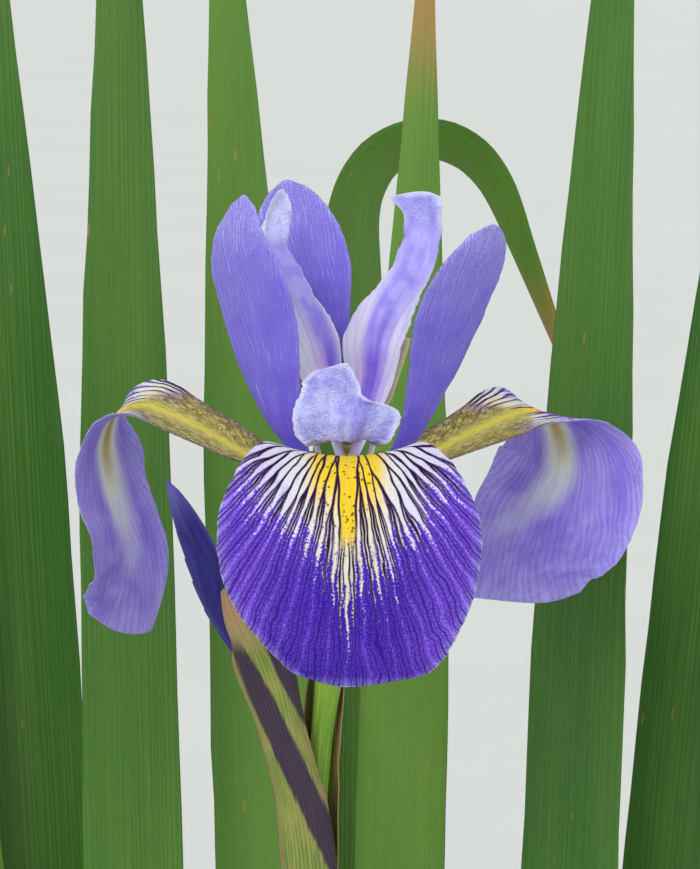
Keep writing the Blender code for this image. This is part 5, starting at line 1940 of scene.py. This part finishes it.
@dataclass(frozen=True)
class Soil:
    """Compost that fills the pot, with crumbs, bark and grit on top.

    The base's corner has two radii, each at its height, and the top dips by the dip near the pot. Crumbs
    keep the clearance in millimetres from a fan's middle plane.
    """

    radius: float = 77.0
    base_radii: tuple[float, float] = (56.5, 57.4)
    base_heights: tuple[float, float] = (2.6, 3.2)
    dip: float = 0.8
    crumbs: int = 900
    clearance: float = 10.5
    rings: int = 72
    around: int = 200

    def skin(self) -> Skin:
        """Closed skin: a lumpy top, a side just inside the pot, and a flat bottom.

        Returns:
            The skin.
        """
        turn = full_turn(self.around)
        share = np.sqrt(np.linspace(1, 0.0004, self.rings))
        lower = np.array([*self.base_heights, SOIL_TOP - 4.0])
        radius = np.concatenate((self.base_radii, [self.radius], self.radius * share))[:, None]
        x, y = radius * np.cos(turn)[None], radius * np.sin(turn)[None]
        z = np.broadcast_to(np.concatenate((lower, np.zeros(self.rings)))[:, None], x.shape).copy()
        top = slice(len(lower), None)
        z[top] = soil_height(x[top], y[top])
        dip = np.zeros_like(z)
        dip[top] = self.dip * eased(radius[top], self.radius - 5, self.radius)
        fields = {"place": grid_field(x, y, z), "tint": np.zeros((*x.shape, 3))}
        return tube(grid_field(x, y, z - dip) * MM, fields)

    def ball(self) -> tuple[Array, Array, Array]:
        """Plain round crumb: three rings of six points, and a point at each end.

        Returns:
            Its points, with radius 1, its quads and its triangles.
        """
        turn = full_turn(6)
        rows = np.radians([-50, 0, 50])[:, None]
        rings = grid_field(np.cos(rows) * np.cos(turn), np.cos(rows) * np.sin(turn), np.sin(rows))
        points = np.concatenate(([[0, 0, -1]], rings.reshape(-1, 3), [[0, 0, 1]]))
        return points, *ring_faces(np.arange(18).reshape(3, 6) + 1, 0, 19)

    def clear_of_fans(self, x: Array, y: Array) -> Array:
        """Which places are clear of the rhizomes and the leaves.

        Args:
            x: places along X in millimetres.
            y: places along Y in millimetres.

        Returns:
            True where a place is clear.
        """
        clear = np.ones(len(x), bool)
        for fan in FANS:
            turned = math.radians(fan.plane)
            along = (x - fan.x) * math.cos(turned) + (y - fan.y) * math.sin(turned)
            beside = -(x - fan.x) * math.sin(turned) + (y - fan.y) * math.cos(turned)
            reach = fan.reach() + LEAF_FOOT_WIDTH / 2 + 5
            clear &= (np.abs(along) > reach) | (np.abs(beside) > self.clearance)
        return clear

    def litter(self) -> Skin:
        """Crumbs as one skin. Each is a small rough ball, stretched by its kind (peat, bark or grit),
        tipped and turned, and laid on the soil.

        Returns:
            The skin.
        """
        chance = np.random.default_rng(4)
        count = self.crumbs
        ball, quads, ends = self.ball()
        kind = chance.choice(3, count, p=(0.62, 0.24, 0.14))
        size = np.array([[1.0, 0.8, 0.7], [2.6, 1.1, 0.5], [0.8, 0.7, 0.6]])[kind]
        size = size * chance.lognormal(0, 0.4, (count, 1)).clip(0.4, 2.4)
        points = ball[None] * size[:, None] * (1 + 0.22 * chance.standard_normal((count, len(ball), 1)))
        spin, tip = chance.uniform(0, 2 * np.pi, count), chance.normal(0, 0.45, count)
        c, s, ct, st = np.cos(spin), np.sin(spin), np.cos(tip), np.sin(tip)
        turns = np.stack((grid_field(c * ct, -s, c * st), grid_field(s * ct, c, s * st),
                          grid_field(-st, 0 * c, ct)), -2)
        points = np.einsum("nij,nkj->nki", turns, points)
        radius = (self.radius - 3.5) * np.sqrt(chance.uniform(0, 1, count))
        angle = chance.uniform(0, 2 * np.pi, count)
        x, y = radius * np.cos(angle), radius * np.sin(angle)
        points += grid_field(x, y, soil_height(x, y) + size[:, 2] * 0.35)[:, None]
        clear = self.clear_of_fans(x, y)
        points, kind = points[clear], kind[clear]
        count = len(points)
        shift = (np.arange(count) * len(ball))[:, None, None]
        tint = grid_field(kind * 0.5, chance.uniform(0, 1, count), 1.0)
        fields = {"place": points.reshape(-1, 3), "tint": np.repeat(tint, len(ball), axis=0)}
        return Skin(points.reshape(-1, 3) * MM, (quads[None] + shift).reshape(-1, 4),
                    (ends[None] + shift).reshape(-1, 3), fields).turned_outwards()


@dataclass(frozen=True)
class Pot:
    """Round tapered nursery pot with a rolled rim and drain holes, in millimetres."""

    height: float = 150.0
    top: float = 82.0
    base: float = 60.0
    wall: float = 2.2
    rim_depth: float = 14.0
    rim_out: float = 3.2
    rim_round: float = 1.5
    drains: int = 4
    drain_radius: float = 6.0
    drain_ring: float = 38.0
    segments: int = 160

    def inner(self, height: float) -> float:
        """Inside radius at a height."""
        return self.base + (self.top - self.base) * height / self.height - self.wall

    def profile(self) -> Array:
        """Profile from the middle of the underside round the wall to the middle inside.

        Returns:
            Rows of radius and height.
        """
        foot = self.height - self.rim_depth
        band, lip = self.inner(foot) + self.wall, self.inner(self.height)
        out = self.top + self.rim_out
        middle, swell = (lip + out) / 2, (out - lip) / 2
        rows = [(0.02, 1.2), (20, 1.2), (20.6, 0.6), (51, 0.6), (52, 0.0), (self.base - 2.0, 0.0),
                (self.base - 1.2, 0.25), (self.base - 0.4, 0.9), (self.base, 2.0)]
        rows += [(self.base + (band - self.base) * t, 2.0 + (foot - 2.0) * t)
                 for t in np.linspace(0, 1, 24)[1:-1]]
        rows += [(band, foot - 0.6), (band + 0.6, foot - 0.1), (band + self.rim_out - 0.5, foot + 0.2),
                 (band + self.rim_out, foot + 0.9), (out - 0.25, self.height - 2 * self.rim_round),
                 (out, self.height - 2.0)]
        rows += [(middle + swell * math.cos(a), self.height - self.rim_round + self.rim_round * math.sin(a))
                 for a in np.linspace(0.15, math.pi - 0.15, 11)]
        rows += [(lip, self.height - 2.2)]
        rows += [(self.inner(h), h) for h in (foot + 1, foot - 2, 100, 60, 20, 5)]
        rows += [(self.inner(3.0) - 0.6, 2.7), (self.inner(2.2) - 2, 2.2), (30, 2.2), (0.02, 2.2)]
        return np.array(rows)

    def turned(self) -> Skin:
        """Skin turned about the axis, with the slightest waver of moulded plastic.

        Returns:
            The skin without holes.
        """
        profile = self.profile()
        turn = full_turn(self.segments)
        height = profile[:, 1:]
        radius = profile[:, :1] + 0.12 * np.cos(2 * turn + 0.6)[None] * (height / self.height) ** 2
        return tube(grid_field(radius * np.cos(turn)[None], radius * np.sin(turn)[None], height) * MM, {})

    def drain(self, number: int) -> Skin:
        """Rod through the base where a drain hole is.

        Args:
            number: which hole, from 0.

        Returns:
            The rod's skin.
        """
        middle = 2 * np.pi * (number + 0.5) / self.drains
        turn = full_turn(48)
        height = np.array([-4.0, 6.0])[:, None]
        x = self.drain_ring * math.cos(middle) + self.drain_radius * np.cos(turn)[None]
        y = self.drain_ring * math.sin(middle) + self.drain_radius * np.sin(turn)[None]
        return tube(grid_field(x, y, height) * MM, {})

    def skin(self) -> Skin:
        """Closed skin with the drain holes cut through its base.

        Returns:
            The skin.
        """
        rods = [self.drain(number) for number in range(self.drains)]
        shell, *cutters = [plain_item(skin) for skin in (self.turned(), *rods)]
        for cutter in cutters:
            modifier = shell.modifiers.new("drain", "BOOLEAN")
            modifier.object, modifier.operation, modifier.solver = cutter, "DIFFERENCE", "EXACT"
        bpy.context.view_layer.update()
        mesh = bpy.data.meshes.new_from_object(shell.evaluated_get(bpy.context.evaluated_depsgraph_get()))
        mesh.calc_loop_triangles()
        points = np.empty(len(mesh.vertices) * 3)
        mesh.vertices.foreach_get("co", points)
        corners = np.empty(len(mesh.loop_triangles) * 3, int)
        mesh.loop_triangles.foreach_get("vertices", corners)
        for used in (mesh, *[item.data for item in (shell, *cutters)]):
            bpy.data.meshes.remove(used)
        return Skin(points.reshape(-1, 3), np.zeros((0, 4), int), corners.reshape(-1, 3))


@dataclass(frozen=True)
class PotFinish:
    """Finish of the pot: satin black plastic, dusty, with soil splashes low down and under the rim."""

    name: str = "pot"

    def material(self) -> bpy.types.Material:
        """Lays dust and soil over the black plastic, with fine rub marks.

        Returns:
            The material.
        """
        g = Graph(self.name)
        where = g.place()
        x, y, z = g.split(where)
        grain = g.noise(where, 900.0, 4.0)
        cloud = g.noise(where, 26.0, 5.0)
        rub = g.cloud(x * 60.0, y * 60.0, z * 900.0, detail=3.0)
        dust = cloud.rise(0.42, 0.72) * 0.5 + z.rise(0.03, 0.0) * 0.35 + grain.rise(0.55, 0.75) * 0.12
        soiled = g.spots(where, 120.0).rise(0.2, 0.08) * cloud.rise(0.45, 0.6)
        soiled = soiled * (z.rise(0.05, 0.0) * 0.7 + z.rise(0.12, 0.15) * 0.5)
        colour = g.layers(
            paint(40, 41, 43),
            (paint(54, 54, 56), grain),
            (paint(122, 114, 102), dust.least(1.0) * 0.42),
            (paint(76, 54, 38), soiled.least(1.0)))
        g.bump((grain, 0.12 * MM), (rub, 0.05 * MM), (soiled, 0.25 * MM))
        return g.finish(colour, dust * 0.5 + 0.4 + rub * 0.08, gloss=0.45)


@dataclass(frozen=True)
class SoilFinish:
    """Finish of the soil and its crumbs: dark damp peat, brown bark and pale grit."""

    name: str = "soil"

    def material(self) -> bpy.types.Material:
        """Colours the bed as peat, and each crumb by its kind.

        Returns:
            The material.
        """
        g = Graph(self.name)
        where = g.place()
        kind, chance, loose = g.field("tint")
        grain = g.noise(where, 1500.0, 5.0)
        peat = g.layers(
            paint(38, 27, 20),
            (paint(84, 62, 44), grain.rise(0.35, 0.75)),
            (paint(58, 44, 34), g.noise(where, 60.0, 4.0)))
        bark = g.mix(paint(92, 58, 36), paint(136, 96, 62), chance * 0.7 + grain * 0.3)
        grit = g.mix(paint(150, 142, 128), paint(196, 190, 178), chance)
        crumb = g.layers(
            peat,
            (paint(64, 46, 34), chance * 0.6),
            (bark, kind.rise(0.2, 0.4)),
            (grit, kind.rise(0.7, 0.9)))
        g.bump((grain, 0.5 * MM), (g.spots(where, 900.0), 0.35 * MM))
        return g.finish(g.mix(peat, crumb, loose), 0.9, gloss=0.3)


@dataclass(frozen=True)
class RhizomeFinish:
    """Finish of a rhizome: brown and scaly, paler along its ring scars."""

    name: str = "rhizome"

    def material(self) -> bpy.types.Material:
        """Lays scales and scars over the brown.

        Returns:
            The material.
        """
        g = Graph(self.name)
        run, _, rough = g.field("place")
        where = g.place()
        grain = g.noise(where, 900.0, 4.0)
        cloud = g.noise(where, 160.0, 3.0)
        ring = (run * 0.72 + cloud).from_half().rise(0.34, 0.48)
        colour = g.layers(
            paint(92, 62, 40),
            (paint(142, 104, 68), cloud.rise(0.35, 0.7)),
            (paint(54, 36, 26), grain.rise(0.55, 0.4) * 0.6),
            (paint(182, 150, 106), ring * 0.4 + rough.rise(0.2, 0.7) * 0.25))
        g.bump((grain, 0.35 * MM), (ring, 0.2 * MM))
        return g.finish(colour, 0.8, gloss=0.3)


class Container:
    """The pot with its soil and the rhizomes in it."""

    def build(self) -> None:
        """Builds and dresses the pot, the soil with its crumbs, and the rhizomes."""
        add_piece("pot_shell", Pot().skin(), PotFinish().material(), ["pot"], crease=50.0)
        soil = SoilFinish().material()
        add_piece("soil_bed", Soil().skin(), soil, ["soil"])
        add_piece("soil_crumbs", Soil().litter(), soil, [])
        bark = RhizomeFinish().material()
        for fan in FANS:
            node = f"rhizome_{fan.name}"
            add_piece(f"{node}_root", Rhizome(fan).skin(), bark, [node])


# Studio


@dataclass(frozen=True)
class Studio:
    """Plain pale floor and sky, soft lights, and the camera at the photograph's angle."""

    target: tuple[float, float, float] = (0.00048, -0.018, 0.67064)
    distance: float = 0.5
    elevation: float = 10.0
    pixels_per_metre: float = 6250.0
    picture_height: int = 869
    sensor: float = 36.0
    floor_reach: float = 30.0
    sky: Colour = paint(232, 235, 234)
    sky_strength: float = 0.93

    def camera(self) -> None:
        """Camera that looks down on the flower by the elevation, with the photograph's scale."""
        tilt = math.radians(self.elevation)
        data = bpy.data.cameras.new("camera")
        data.sensor_width = self.sensor
        data.lens = self.pixels_per_metre * self.distance * self.sensor / self.picture_height
        data.clip_start = 0.01
        item = placed("camera", data)
        away = np.array([0, -math.cos(tilt), math.sin(tilt)])
        item.location = np.array(self.target) + self.distance * away
        item.rotation_euler = (math.pi / 2 - tilt, 0, 0)
        bpy.context.scene.camera = item

    def floor(self) -> None:
        """Wide pale floor."""
        mesh = bpy.data.meshes.new("floor")
        corners = np.array([(-1, -1, 0), (1, -1, 0), (1, 1, 0), (-1, 1, 0)]) * self.floor_reach
        mesh.from_pydata(corners.tolist(), [], [(0, 1, 2, 3)])
        g = Graph("floor")
        tone = g.mix(paint(200, 202, 199), paint(207, 209, 206), g.noise(g.place(), 3.0, 3.0))
        mesh.materials.append(g.finish(tone, 0.8, gloss=0.2))
        item = placed("floor", mesh)

    def light(self, name: str, away: Sequence[float], spread: float, strength: float) -> None:
        """Soft distant light.

        Args:
            name: the light's name.
            away: direction from the plant to the light.
            spread: angular size in degrees.
            strength: energy of the light.
        """
        data = bpy.data.lights.new(name, "SUN")
        data.angle, data.energy = math.radians(spread), strength
        x, y, z = unit(np.array(away))
        placed(name, data).rotation_euler = (math.acos(z), 0, math.atan2(x, -y))

    def build(self) -> None:
        """Sets the camera, the floor, the sky and the lights."""
        self.camera()
        self.floor()
        world = bpy.data.worlds.new("world")
        world.use_nodes = True
        background = world.node_tree.nodes["Background"]
        background.inputs["Color"].default_value = (*self.sky, 1.0)
        background.inputs["Strength"].default_value = self.sky_strength
        bpy.context.scene.world = world
        self.light("key", away=(-0.9, -1.7, 1.2), spread=30.0, strength=1.4)
        self.light("fill", away=(1.5, -1.4, 0.5), spread=50.0, strength=0.55)
        self.light("back", away=(0.8, 1.6, 1.2), spread=30.0, strength=0.6)
        bpy.context.scene.view_settings.view_transform = "Standard"


def main() -> None:
    """Builds the plant, the pot and the studio."""
    parts: tuple[tuple[str, Callable[[], None]], ...] = (
        ("flower head", FlowerHead().build),
        ("stalk", Stalk().build),
        ("foliage", Foliage().build),
        ("container", Container().build),
        ("studio", Studio().build),
    )
    for label, build in parts:
        log.info("building the %s", label)
        build()


if __name__ == "__main__":
    logging.basicConfig(level=logging.INFO)
    main()
